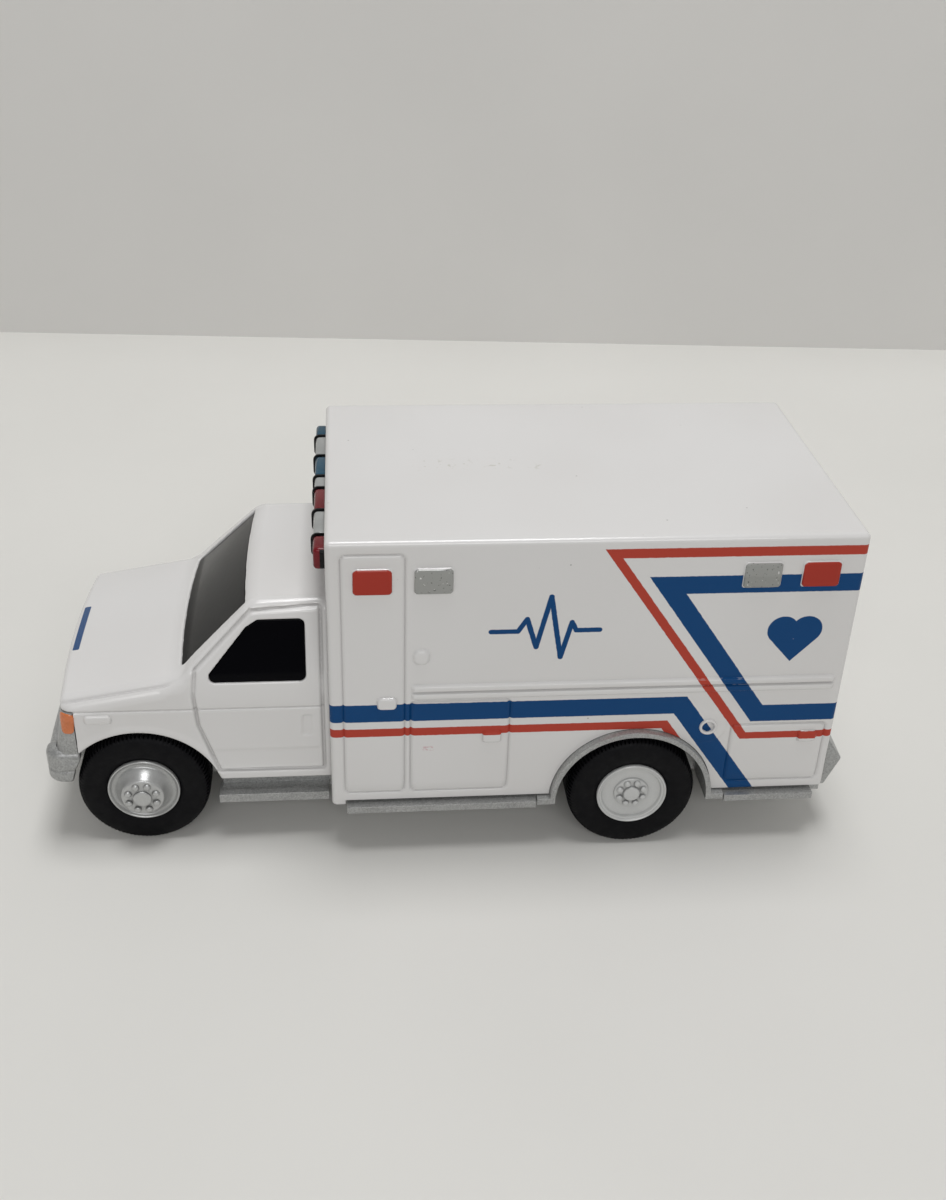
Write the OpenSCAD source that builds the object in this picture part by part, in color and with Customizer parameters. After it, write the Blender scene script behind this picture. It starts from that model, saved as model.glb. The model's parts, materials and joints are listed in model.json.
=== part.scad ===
// Toy ambulance: a van cab and a square body on one base, rolling on two steel axles.
// X runs from the nose to the tail, Y to the vehicle's right and Z up.
// The origin lies on the ground, midway between the two bumpers.

/* [Body box] */
// Length of the body box
box_l = 67.5; // [60:0.5:80]
// Width of the body box
box_w = 42.5; // [41:0.5:48]
// Height of the body's roof above the ground
box_top = 47.6; // [46:0.2:56]
// Wall thickness of the body box
box_wall = 1.6; // [1.4:0.1:2.2]
// Rounding of the body's outer edges
box_edge_r = 1; // [0.6:0.1:1.4]
// How far lamps, handles and rails stand out of the body's side
boss_h = 0.45; // [0.3:0.05:0.6]
// Width of the moulded door lines
line_w = 0.4; // [0.3:0.05:0.6]
// Depth of the moulded door lines
line_d = 0.25; // [0.15:0.05:0.4]

/* [Side lamps and rail] */
// Length of a side lamp
lamp_l = 5; // [4:0.1:6]
// Height of a side lamp
lamp_h = 3.7; // [3:0.1:4.5]
// Distance of the side lamps' middle below the body's roof
lamp_drop = 5.4; // [4.6:0.1:7.6]
// Distance of the outer lamps' middle from the body's ends
lamp_set = 5.7; // [5:0.1:6.5]
// Distance between the two lamps of a pair
lamp_pitch = 7.5; // [7:0.1:9]
// Height of the rub rail's middle above the ground
rail_z = 25.7; // [25:0.1:27]
// Height of the double rub rail
rail_h = 2; // [1.6:0.1:2.4]

/* [Cab] */
// Length of the cab from the body box to the nose's corners
cab_l = 34.3; // [33:0.1:37]
// Width of the cab across the doors
cab_w = 35.4; // [34.5:0.1:37]
// Wall thickness of the cab
cab_wall = 1.5; // [1.3:0.1:1.8]
// Height of the cab's lower edge above the ground
cab_bottom = 9.8; // [9.4:0.1:10.4]
// Height of the crease along the fenders and doors
belt_z = 21.3; // [20.8:0.1:21.8]
// Height of the hood's front edge at the corners
hood_front_z = 22.9; // [22.6:0.1:23.6]
// Height of the hood's rear edge at the corners
hood_rear_z = 25.4; // [25:0.1:26]
// Length of the hood at the corners
hood_l = 14.6; // [14:0.1:15.4]
// Width between the hood's edges
hood_w = 32.2; // [31.4:0.1:32.8]
// Rise of the hood's middle over its edges
hood_crown = 0.9; // [0.5:0.1:1.4]
// How far the nose's middle stands ahead of its corners
nose_bow = 1.1; // [0.6:0.1:1.6]
// Height of the cab's roof at its edges
roof_z = 35.4; // [34.8:0.1:37]
// Width of the cab's roof
roof_w = 28.6; // [27.6:0.1:29.4]
// Rise of the roof's middle over its edges
roof_crown = 0.7; // [0.4:0.1:1.2]
// Horizontal run of the windscreen from the hood to the roof
screen_run = 10.1; // [9.4:0.1:10.8]
// Height at which the cab's sides start to lean in
lean_z = 24.5; // [24:0.1:25]
// How deep the glass lies below the cab's surface
glass_set = 0.2; // [0.1:0.05:0.4]
// Thickness of the glazing insert
glass_t = 1; // [0.8:0.1:1.2]

/* [Nose and bumpers] */
// How far the front bumper reaches ahead of the nose's corners
front_reach = 3.7; // [3.4:0.1:5]
// How far the rear bumper reaches behind the body box
rear_reach = 3.1; // [2.4:0.1:5]
// Thickness of the grille panel
grille_t = 1.3; // [1.1:0.1:1.6]
// Height of the grille panel's lower edge above the ground
grille_low = 13.1; // [13:0.1:13.6]
// Height of the front bumper's lower edge above the ground
bumper_low = 10.5; // [10.2:0.1:11]
// Height of the front bumper's bar
bumper_h = 3.6; // [3:0.1:4]
// Half width of the rear bumper
rear_bumper_hw = 20; // [18:0.1:20.4]
// Height of the rear bumper's upper edge above the ground
rear_bumper_top = 14.8; // [14:0.1:16]

/* [Base] */
// Height of the base's upper face above the ground
base_top = 8.4; // [8.2:0.1:8.8]
// Thickness of the base plate
base_t = 1.6; // [1.4:0.1:1.8]
// Depth of the two frame rails under the plate
rail_drop = 2.2; // [2:0.1:2.6]
// Thickness of the running boards
step_t = 1; // [0.8:0.1:1.2]
// How far the running boards stand out past the body's side
step_proud = 1.05; // [0.8:0.05:1.2]
// Width of the cab's step past the doors
cab_step_proud = 0.8; // [0.6:0.1:1.4]

/* [Wheels] */
// Outer diameter of a tyre
tyre_d = 17.5; // [17:0.1:17.8]
// Width of a tyre
tyre_w = 6.4; // [5.8:0.1:6.8]
// Diameter of a rim's outer lip
rim_d = 9.6; // [9:0.1:10.2]
// Diameter of an axle
axle_d = 2; // [1.8:0.1:2.2]
// Distance of the front axle behind the nose's corners
front_axle_set = 9.2; // [9:0.1:9.4]
// Distance of the rear axle ahead of the body's rear face
rear_axle_set = 27; // [24:0.5:32]
// How far the front wheels stand out past the cab's side
front_wheel_proud = 0.5; // [0.2:0.1:0.8]
// How far the rear wheels stand out past the body's side
rear_wheel_proud = 1.2; // [1:0.1:1.4]
// Number of wheel nuts on a rim
nut_count = 8; // [5:1:8]

/* [Light bar] */
// Half length of the light bar
bar_hl = 18.9; // [18:0.1:20]
// Height of the light bar
bar_h = 2.8; // [2.4:0.1:3.2]
// Distance of the light bar's top below the body's roof
bar_drop = 2.2; // [2:0.1:3.6]
// How far the lamps reach ahead of the body
bar_reach = 1.65; // [1.5:0.05:2.2]
// Length of the middle lamp
centre_lamp_l = 3.6; // [3:0.1:4]
// Length of the lamps beside the middle one
inner_lamp_l = 6.4; // [6:0.1:6.8]
// Length of the clear lamps next to the ends
outer_lamp_l = 6.65; // [6:0.05:6.9]

/* [Clearances] */
// Radial clearance of an axle in the base
axle_play = 0.06; // [0.03:0.01:0.1]
// Clearance between pieces that are fitted together
fit_gap = 0.05; // [0.03:0.01:0.1]
// Gap between the tyre's top and the cab's wheel arch
arch_gap = 0.35; // [0.3:0.05:0.8]
// Extra radius of the cab's wheel arch over the tyre
arch_play = 2.15; // [1.8:0.05:2.4]
// Gap between the tyre's top and the body's wheel arch
tub_gap = 0.6; // [0.4:0.05:1]
// Extra radius of the body's wheel arch over the tyre
tub_play = 1.65; // [1.4:0.05:2]
// Gap between a turning wheel and what stands beside it
wheel_gap = 0.5; // [0.4:0.05:0.7]

/* [Hidden] */
$fn = 48;
// A length that is longer than any piece, for cuts that run right through
far = 300;
// How far a joined shape sinks into the one that it grows from
bite = 0.2;
// Fineness of the shallow bows, which are short stretches of large circles
bow_fn = 720;

// Places along the vehicle
total_l = front_reach + cab_l + box_l + rear_reach;
front_x = -total_l / 2;
cab_front = front_x + front_reach;
box_front = cab_front + cab_l;
box_rear = box_front + box_l;
rear_x = box_rear + rear_reach;
box_mid = (box_front + box_rear) / 2;
front_axle_x = cab_front + front_axle_set;
rear_axle_x = box_rear - rear_axle_set;

// Wheels and what goes round them
tyre_r = tyre_d / 2;
axle_r = axle_d / 2;
axle_z = tyre_r;
rim_r = rim_d / 2;
lip_h = 0.4;
lip_t = 0.5;
bead_r = rim_r - lip_h;
shoulder_r = 1;
rim_set = 0.4;
rim_in = tyre_w - rim_set;
hub_wall = 1.2;
hub_r = axle_r + hub_wall;
front_face = 2.2;
front_axle_end = 0.3;
rear_axle_end = 1.2;
front_out = cab_w / 2 + front_wheel_proud;
rear_out = box_w / 2 + rear_wheel_proud;
front_in = front_out - tyre_w;
rear_in = rear_out - tyre_w;
arch_r = tyre_r + arch_play;
arch_z = tyre_d + arch_gap - arch_r;
arch_shift = 0.25;
arch_x = front_axle_x - arch_shift;
tub_r = tyre_r + tub_play;
tub_t = 0.7;
tub_out_r = tub_r + tub_t;
tub_z = tyre_d + tub_gap - tub_r;
tub_side = rear_in - wheel_gap;
flare_proud = 1;
foot_l = 1.75;
foot_h = 0.9;

// Base levels
base_bottom = base_top - base_t;
rail_bottom = base_bottom - rail_drop;
step_drop = 0.5;
step_top = base_top - step_drop;
step_bottom = step_top - step_t;
cab_step_drop = 0.15;
cab_step_top = step_top - cab_step_drop;
cab_step_t = 1.3;
spine_hw = front_in - wheel_gap;
frame_rail_y = 7.6;
frame_rail_w = 3.4;
plate_set = 1;
plate_hw = box_w / 2 - plate_set;
pad_lap = 0.35;
pad_front = arch_x + arch_r - pad_lap;
spine_set = 0.4;
spine_front = cab_front + spine_set;
peg_r = 0.9;
peg_l = 2;
front_peg_drop = 1.5;
front_peg_z = grille_low - front_peg_drop;
rear_peg_z = (rail_bottom + base_bottom) / 2;

// Cab shape
cab_hw = cab_w / 2;
hood_hw = hood_w / 2;
roof_hw = roof_w / 2;
cowl_x = cab_front + hood_l;
roof_front_x = cowl_x + screen_run;
hood_slope = atan2(hood_rear_z - hood_front_z, hood_l);
screen_angle = atan2(roof_z - hood_rear_z, screen_run);
screen_l = norm([screen_run, roof_z - hood_rear_z]);
screen_bow = 0.65;
shoulder_drop = 1.2;
form_lap = 1.2;
nose_corner_r = 2.4;
cab_rear_wall = box_front - fit_gap;
function bow_radius(half_chord, rise) = (half_chord * half_chord + rise * rise) / (2 * rise);
nose_bow_r = bow_radius(hood_hw, nose_bow);
hood_crown_r = bow_radius(hood_hw, hood_crown);
roof_crown_r = bow_radius(roof_hw, roof_crown);
screen_bow_r = bow_radius(roof_hw, screen_bow);
nose_x = cab_front - nose_bow;
bumper_back = nose_x - fit_gap;

// The door window's corner centres, with the corner radius taken off
window_r = 0.9;
window_sill = 1.2;
window_head = 2.3;
window_rear = 3.2;
window_low = lean_z + window_sill + window_r;
window_top = roof_z - window_head - window_r;
window_back = box_front - window_rear - window_r;
WINDOW = [[cowl_x + 5.3, window_low], [window_back, window_low], [window_back, window_top],
    [roof_front_x + 1.1, window_top]];
// The door's outline, from the roof's rear corner round the front and back along the sill
door_margin = 1.2;
door_rear = box_front - door_margin;
DOOR = [[door_rear, roof_z - 1], [roof_front_x - 0.1, roof_z - 1.4], [cowl_x + 2.8, lean_z + 2.2],
    [cowl_x + 2.45, lean_z - 1.1], [cowl_x + 2.8, belt_z - 2.5], [cowl_x + 5.1, cab_bottom + 1.8],
    [door_rear, cab_bottom + 1.7]];
// The windscreen's outline, measured up the glass and from the middle
screen_margin = 1.3;
screen_low = 1.15;
screen_high = screen_l - screen_margin;
screen_low_hw = roof_hw;
screen_high_hw = roof_hw - screen_margin;
// Steps of the glazing insert inside the cab
glass_rise = 0.3;
glass_rear = 2.4;

// Screws and the posts that they bite into
screw_r = 0.9;
screw_head_r = 1.8;
screw_head_t = 1.2;
screw_l = 8;
screw_boss_r = 2.7;
screw_boss_drop = 1.8;
post_r = 2.3;
post_l = 11;
post_set = 4.2;
post_cap = 1;
cab_front_post_x = cab_front + post_set;
cab_rear_post_x = box_front - cab_wall - post_r;
box_front_post_x = box_front + box_wall + post_r;
box_rear_post_x = box_rear - box_wall - post_r;
SCREWS = [cab_front_post_x, cab_rear_post_x, box_front_post_x, box_rear_post_x];

// Body details, measured along the left side
leg_l = 1.8;
leg_drop = 0.9;
leg_w = 1.9;
leg_gap = 0.2;
leg_rear = box_front + leg_l + leg_gap;
line_r = 0.6;
end_margin = 1.2;
sill_h = 1.2;
sill_z = base_top + sill_h;
entry_front = box_front + leg_l;
entry_l = 7.9;
entry_rear = entry_front + entry_l;
entry_head = 1.75;
entry_top = box_top - entry_head;
locker_gap = 0.5;
locker_front = entry_rear + 2 * locker_gap - bite;
locker_l = 12.95;
locker_rear = locker_front + locker_l;
locker_top = rail_z - rail_h / 2 - locker_gap;
rear_locker_l = 12.9;
rear_locker_drop = 6.7;
rear_locker_rear = box_rear - end_margin;
rear_locker_top = rail_z - rear_locker_drop;
rail_front = locker_front;
rail_rear = box_rear - end_margin;
rear_door_hw = 13.5;
rear_door_sill = 0.6;
rear_door_head = 4.5;
lamp_r = 0.7;
lamp_z = box_top - lamp_drop;
handle_l = 2.6;
handle_h = 1.8;
handle_r = 0.5;
handle_set = 2.3;
rear_handle_set = 2.4;
entry_handle_drop = 1.6;
locker_handle_drop = 7.3;
rear_handle_drop = 2;
HANDLES = [[entry_rear - handle_set, rail_z - entry_handle_drop],
    [locker_rear - handle_set, rail_z - locker_handle_drop],
    [rear_locker_rear - rear_handle_set, rear_locker_top - rear_handle_drop]];
knob_set = 1.3;
knob_rise = 5.4;
filler_set = 9.6;
LAMPS = [box_front + lamp_set, box_front + lamp_set + lamp_pitch,
    box_rear - lamp_set - lamp_pitch, box_rear - lamp_set];

// Light bar: lamp lengths and middles from the centre outwards
lamp_gap = 0.3;
lamp_lip = 0.1;
bar_back_t = 0.6;
inner_lamp_y = (centre_lamp_l + inner_lamp_l) / 2;
outer_lamp_y = centre_lamp_l / 2 + inner_lamp_l + outer_lamp_l / 2;
end_lamp_l = bar_hl - centre_lamp_l / 2 - inner_lamp_l - outer_lamp_l;
end_lamp_y = bar_hl - end_lamp_l / 2;
bar_top = box_top - bar_drop;
bar_z = bar_top - bar_h / 2;

// Flat shapes

// Rectangle with rounded corners, centred
module rounded_rect(l, w, r) {
    square([l - 2 * r, w], center = true);
    square([l, w - 2 * r], center = true);
    for (sx = [-1, 1], sy = [-1, 1])
        translate([sx * (l / 2 - r), sy * (w / 2 - r)])
            circle(r);
}

// A closed line of the given width through the points
module closed_line(points, w) {
    for (i = [0 : len(points) - 1]) {
        a = points[i];
        b = points[(i + 1) % len(points)];
        translate(a)
            circle(d = w, $fn = 24);
        translate(a)
            rotate(atan2(b.y - a.y, b.x - a.x))
                translate([0, -w / 2])
                    square([norm(b - a), w]);
    }
}

// A filled outline whose corners are rounded about the points
module rounded_outline(points, r) {
    polygon(points);
    closed_line(points, 2 * r);
}

// A rectangular ring given by its lowest and highest corner
module rect_ring(low, high, w, r) {
    size = high - low;
    translate((low + high) / 2)
        difference() {
            rounded_rect(size.x, size.y, r);
            rounded_rect(size.x - 2 * w, size.y - 2 * w, max(r - w, 0.15));
        }
}

// Stands a flat shape on a plane of constant Y, from one Y to another
module across(y0, y1) {
    translate([0, y1, 0])
        rotate([90, 0, 0])
            linear_extrude(y1 - y0)
                children();
}

// Stands a flat shape on a plane of constant X, from one X to another
module along(x0, x1) {
    translate([x0, 0, 0])
        rotate([90, 0, 90])
            linear_extrude(x1 - x0)
                children();
}

// A block given by its lowest and highest corner
module block(low, high) {
    translate(low)
        cube(high - low);
}

// Repeats the left side's pieces on the right
module both_sides() {
    for (m = [0, 1])
        mirror([0, m, 0])
            children();
}

// A cylinder along Y
module cross_rod(x, z, r, hw) {
    translate([x, 0, z])
        rotate([90, 0, 0])
            cylinder(r = r, h = 2 * hw, center = true);
}

// A peg along X on each frame rail
module rail_pegs(x, z, r, l) {
    both_sides()
        translate([x, -frame_rail_y, z])
            rotate([0, 90, 0])
                cylinder(r = r, h = l);
}

// Solid forms of the cab and the body, shrunk by an inset for their hollows

// The cab's plan: a bowed nose with rounded corners. The nose can be set back further than the sides.
module cab_plan(inset, back) {
    corner_set = 0.5;
    tip = nose_x + inset + back;
    intersection() {
        translate([tip + nose_bow_r, 0])
            circle(nose_bow_r, $fn = bow_fn);
        translate([tip + corner_set + far / 2, 0])
            rounded_rect(far, 2 * (cab_hw - inset), nose_corner_r);
        translate([tip, -far / 2])
            square([cab_rear_wall - inset - tip, far]);
    }
}
module cab_prism(inset, low, back = 0) {
    translate([0, 0, low])
        linear_extrude(far)
            cab_plan(inset, back);
}

// The hood: a crowned top that slopes up to the cowl, with sloping shoulders
module hood_form(inset) {
    slope = shoulder_drop / (cab_hw - hood_hw);
    drop = norm([1, slope]) * inset;
    wide = cab_hw + form_lap;
    peak = 2 * hood_crown;
    outer = [wide, (hood_hw - wide) * slope - drop];
    inner = [hood_hw - peak / slope, peak - drop];
    intersection() {
        translate([cab_front, 0, hood_front_z])
            rotate([0, -hood_slope, 0])
                along(-far / 2, far / 2)
                    intersection() {
                        translate([0, hood_crown - hood_crown_r])
                            circle(hood_crown_r - inset, $fn = bow_fn);
                        polygon([[-wide, -far / 2], [wide, -far / 2], outer, inner,
                            [-inner.x, inner.y], [-outer.x, outer.y]]);
                    }
        block([-far, -far, -far], [cowl_x + form_lap, far, far]);
    }
}

// The cabin: sides that lean in above the belt, a crowned roof and a bowed windscreen
module cabin_form(inset) {
    lean = (cab_hw - roof_hw) / (roof_z - lean_z);
    shift = norm([1, lean]) * inset;
    wide = cab_hw + form_lap;
    top = roof_z + roof_crown;
    outer = [wide, lean_z - (wide - cab_hw + shift) / lean];
    inner = [cab_hw - shift - lean * (top - lean_z), top];
    intersection() {
        along(cowl_x - form_lap, far)
            intersection() {
                translate([0, top - roof_crown_r])
                    circle(roof_crown_r - inset, $fn = bow_fn);
                polygon([[-wide, -far / 2], [wide, -far / 2], outer, inner,
                    [-inner.x, inner.y], [-outer.x, outer.y]]);
            }
        translate([cowl_x + (screen_bow_r - screen_bow) * sin(screen_angle), 0,
                hood_rear_z + (screen_bow - screen_bow_r) * cos(screen_angle)])
            rotate([0, 90 - screen_angle, 0])
                cylinder(r = screen_bow_r - inset, h = far, center = true, $fn = bow_fn);
    }
}

module nose_solid(inset, low) {
    intersection() {
        cab_prism(inset, low);
        hood_form(inset);
    }
}
module cabin_solid(inset, low) {
    intersection() {
        cab_prism(inset, low);
        cabin_form(inset);
    }
}
module cab_solid(inset, low, back = 0) {
    intersection() {
        cab_prism(inset, low, back);
        union() {
            hood_form(inset);
            cabin_form(inset);
        }
    }
}

// The body box, with its lower edges square
module box_solid(inset, low) {
    l = box_l - 2 * inset;
    w = box_w - 2 * inset;
    top = box_top - inset;
    least_r = 0.3;
    r = max(box_edge_r - inset / 2, least_r);
    mid_z = (low - r + top) / 2;
    h = top - low + r;
    intersection() {
        translate([box_mid, 0, low])
            linear_extrude(top - low)
                rounded_rect(l, w, r);
        across(-w / 2, w / 2)
            translate([box_mid, mid_z])
                rounded_rect(l, h, r);
        along(box_front + inset, box_rear - inset)
            translate([0, mid_z])
                rounded_rect(w, h, r);
    }
}

// Cab details

// A prism through the windscreen, square to the glass
module screen_prism(shrink) {
    deep = cab_wall + 1.2;
    proud = 2.8;
    translate([cowl_x, 0, hood_rear_z])
        rotate([0, -screen_angle, 0])
            translate([0, 0, -deep])
                linear_extrude(deep + proud)
                    polygon([[screen_low + shrink, screen_low_hw - shrink],
                        [screen_high - shrink, screen_high_hw - shrink],
                        [screen_high - shrink, shrink - screen_high_hw],
                        [screen_low + shrink, shrink - screen_low_hw]]);
}

// A prism through each door window
module window_prisms(shrink) {
    deep = cab_wall + 1.9;
    both_sides()
        across(-far, deep - roof_hw)
            rounded_outline(WINDOW, window_r - shrink);
}

// The space in front of the nose's own front wall, where the grille panel sits
module grille_zone(t, low) {
    hood_lip = 0.6;
    difference() {
        block([front_x, -far, low], [cab_front + nose_corner_r + grille_t, far, hood_front_z - hood_lip]);
        translate([t, 0, 0])
            nose_solid(0, 0);
    }
}

// The openings in the fenders for the front wheels
module front_arches() {
    both_sides()
        across(-far, -spine_hw - fit_gap)
            translate([arch_x, arch_z])
                circle(arch_r);
}

// Pieces

module cab_shell() color("white") {
    rib_set = 0.5;
    difference() {
        union() {
            difference() {
                cab_solid(0, cab_bottom);
                cab_solid(cab_wall, 0, grille_t);
            }
            translate([cab_rear_post_x, 0, cab_bottom])
                cylinder(r = post_r, h = post_l);
            block([cab_rear_post_x, -post_r, cab_bottom],
                [cab_rear_wall - bite, post_r, cab_bottom + post_l]);
            translate([cab_front_post_x, 0, base_top])
                cylinder(r = post_r, h = post_l);
            block([nose_x + grille_t + cab_wall / 2, -post_r, grille_low + rib_set],
                [cab_front_post_x, post_r, base_top + post_l]);
        }
        front_arches();
        block([front_x, -far, 0], [cab_front_post_x - post_r - fit_gap, far, grille_low]);
        grille_zone(grille_t + fit_gap, grille_low);
        screen_prism(0);
        window_prisms(0);
        difference() {
            union() {
                across(-far, far)
                    closed_line(DOOR, line_w);
                block([front_x, -far, belt_z - line_w / 2], [box_front, far, belt_z + line_w / 2]);
            }
            cab_solid(line_d, 0);
        }
        for (x = [cab_front_post_x, cab_rear_post_x])
            translate([x, 0, 0])
                cylinder(r = screw_r + fit_gap / 2, h = base_top + post_l - post_cap);
    }
}

module cab_glazing() color([0.05, 0.05, 0.06]) {
    inner = cab_wall + fit_gap;
    difference() {
        intersection() {
            cabin_solid(inner, lean_z);
            block([cowl_x, -far, lean_z + glass_rise],
                [box_front - glass_rear - cab_wall, far, roof_z - inner]);
        }
        cabin_solid(inner + glass_t, 0);
    }
    difference() {
        intersection() {
            cabin_solid(glass_set, 0);
            union() {
                screen_prism(fit_gap);
                window_prisms(fit_gap);
            }
        }
        cabin_solid(inner + glass_t / 2, 0);
    }
}

module grille_panel() color("silver") {
    slat_count = 4;
    slat_t = 0.5;
    slat_gap = 0.75;
    slat_low = 3.6;
    slot_d = 0.55;
    slot_margin = 1;
    headlamp_w = 5.4;
    headlamp_low = 3.2;
    headlamp_head = 1.4;
    headlamp_y = cab_hw - 5.2;
    headlamp_in = headlamp_y - headlamp_w / 2;
    headlamp_out = headlamp_y + headlamp_w / 2;
    frame_w = 0.35;
    frame_r = 0.6;
    difference() {
        intersection() {
            nose_solid(0, 0);
            grille_zone(grille_t, grille_low + fit_gap);
        }
        front_arches();
        // Slots between the grille's slats
        for (i = [0 : slat_count - 1])
            translate([front_x, 0, grille_low + slat_low + i * (slat_t + slat_gap)])
                block([0, slot_margin - headlamp_in, 0],
                    [nose_x - front_x + slot_d, headlamp_in - slot_margin, slat_gap]);
        // Frame lines round the two headlamps
        both_sides()
            along(front_x, cab_front - fit_gap)
                rect_ring([-headlamp_out, grille_low + headlamp_low],
                    [-headlamp_in, hood_front_z - headlamp_head], frame_w, frame_r);
    }
}

module front_bumper() color("silver") {
    side_set = 0.2;
    hw = cab_hw - side_set;
    corner_r = 3;
    bar_bow = 0.6;
    bow_r = bow_radius(hw - corner_r, bar_bow);
    wrap_l = 1.4;
    wrap_t = 1.6;
    bar_top_z = bumper_low + bumper_h;
    valance_h = 1.3;
    valance_t = 0.6;
    valance_low = bumper_low - valance_h;
    valance_top = bumper_low + bite;
    valance_back = bumper_back + valance_t;
    difference() {
        union() {
            intersection() {
                translate([0, 0, bumper_low])
                    linear_extrude(bumper_h)
                        intersection() {
                            translate([front_x + bow_r, 0])
                                circle(bow_r, $fn = bow_fn);
                            translate([front_x + far / 2, 0])
                                rounded_rect(far, 2 * hw, corner_r);
                        }
                across(-far, far)
                    polygon([[front_x + 0.9, bumper_low], [cab_front + wrap_l, bumper_low],
                        [cab_front + wrap_l, bar_top_z], [front_x + 1.3, bar_top_z],
                        [front_x + 0.2, bar_top_z - 0.9], [front_x, bar_top_z - 1.9]]);
            }
            across(corner_r - hw, hw - corner_r)
                polygon([[front_x + 1.9, valance_low], [valance_back, valance_low],
                    [valance_back, valance_top], [front_x + 1.2, valance_top]]);
            rail_pegs(bumper_back - bite, front_peg_z, peg_r, peg_l + bite);
        }
        // Behind the bar there is room for the nose and the base's bracket
        difference() {
            block([bumper_back, wrap_t - hw, 0], [far, hw - wrap_t, far]);
            rail_pegs(bumper_back - bite, front_peg_z, peg_r, peg_l + bite);
        }
        intersection() {
            translate([-fit_gap, 0, 0])
                nose_solid(-fit_gap, 0);
            block([front_x, -far, grille_low - fit_gap], [far, far, far]);
        }
        cross_rod(front_axle_x, axle_z, tyre_r + wheel_gap, far);
    }
}

module rear_bumper() color("silver") {
    low = base_bottom + 0.5;
    chin = 1;
    top_t = 0.5;
    tip_drop = 3.1;
    tab_t = 1.2;
    across(-rear_bumper_hw, rear_bumper_hw)
        polygon([[box_rear, low], [rear_x - chin, low], [rear_x, rear_bumper_top - tip_drop],
            [box_rear + top_t, rear_bumper_top], [box_rear, rear_bumper_top]]);
    both_sides()
        block([box_rear, -frame_rail_y - frame_rail_w / 2, rail_bottom],
            [box_rear + tab_t, frame_rail_w / 2 - frame_rail_y, low + bite]);
    rail_pegs(box_rear - peg_l, rear_peg_z, peg_r, peg_l + bite);
}

module chassis_base() color([0.62, 0.64, 0.65]) {
    pad_hw = cab_hw - cab_wall - 0.4;
    carrier_l = 2.4;
    carrier_cap = 1.2;
    carrier_top = axle_z + axle_r + carrier_cap;
    rear_carrier_hw = tub_side - tub_t - wheel_gap;
    bracket_rear = cab_front_post_x - post_r - 0.2;
    bracket_low = bumper_low - 0.9;
    bracket_top = grille_low - 0.3;
    step_end = 1.6;
    cab_step_end = 0.4;
    lining_gap = fit_gap * 3;
    tub_cut = tub_out_r + lining_gap;
    foot_end = tub_cut + foot_l;
    screw_play = 0.15;
    head_recess = screw_head_t + 0.2;
    difference() {
        union() {
            // Plate under the body, clear of the body's front legs
            block([box_front, -plate_hw + leg_w, base_bottom], [box_rear, plate_hw - leg_w, base_top]);
            block([leg_rear, -plate_hw, base_bottom], [box_rear, plate_hw, base_top]);
            // Pad under the cab and the spine between the front wheels
            block([pad_front, -pad_hw, base_bottom], [box_front, pad_hw, cab_bottom]);
            block([spine_front, -spine_hw, base_bottom], [pad_front + bite, spine_hw, base_top]);
            // Bracket that carries the front bumper
            block([spine_front, -spine_hw, base_bottom], [bracket_rear, spine_hw, bracket_top]);
            block([bumper_back, -spine_hw, bracket_low], [bracket_rear, spine_hw, bracket_top]);
            // Frame rails
            both_sides()
                block([spine_front, -frame_rail_y - frame_rail_w / 2, rail_bottom],
                    [box_rear, frame_rail_w / 2 - frame_rail_y, base_bottom]);
            // Axle carriers
            block([front_axle_x - carrier_l, -spine_hw, base_bottom],
                [front_axle_x + carrier_l, spine_hw, carrier_top]);
            block([rear_axle_x - carrier_l, -rear_carrier_hw, base_bottom],
                [rear_axle_x + carrier_l, rear_carrier_hw, carrier_top]);
            // Screw bosses
            for (x = SCREWS)
                translate([x, 0, base_bottom - screw_boss_drop])
                    cylinder(r = screw_boss_r, h = screw_boss_drop + bite);
            // Running boards beside the cab and the body
            both_sides() {
                block([pad_front - pad_lap, -cab_hw - cab_step_proud, cab_step_top - cab_step_t],
                    [box_front - cab_step_end, bite - pad_hw, cab_step_top]);
                block([leg_rear, -box_w / 2 - step_proud, step_bottom],
                    [rear_axle_x - foot_end, bite - plate_hw, step_top]);
                block([rear_axle_x + foot_end, -box_w / 2 - step_proud, step_bottom],
                    [box_rear - step_end, bite - plate_hw, step_top]);
            }
        }
        // Room for the rear wheels' arch linings
        both_sides() {
            block([rear_axle_x - tub_cut, -far, 0],
                [rear_axle_x + tub_cut, tub_t + lining_gap - tub_side, far]);
            block([rear_axle_x - foot_end, -far, 0], [rear_axle_x + foot_end, -plate_hw - fit_gap, far]);
        }
        // Axle bores
        cross_rod(front_axle_x, axle_z, axle_r + axle_play, far);
        cross_rod(rear_axle_x, axle_z, axle_r + axle_play, far);
        // Holes for the bumpers' pegs
        rail_pegs(bumper_back - bite, front_peg_z, peg_r + fit_gap, peg_l + fit_gap + bite);
        rail_pegs(box_rear - peg_l - fit_gap, rear_peg_z, peg_r + fit_gap, peg_l + fit_gap + bite);
        // Screw holes and recesses for their heads
        for (x = SCREWS)
            translate([x, 0, base_bottom - screw_boss_drop]) {
                translate([0, 0, -bite])
                    cylinder(r = screw_head_r + fit_gap, h = head_recess + bite);
                cylinder(r = screw_r + screw_play, h = far);
            }
    }
}

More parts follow.
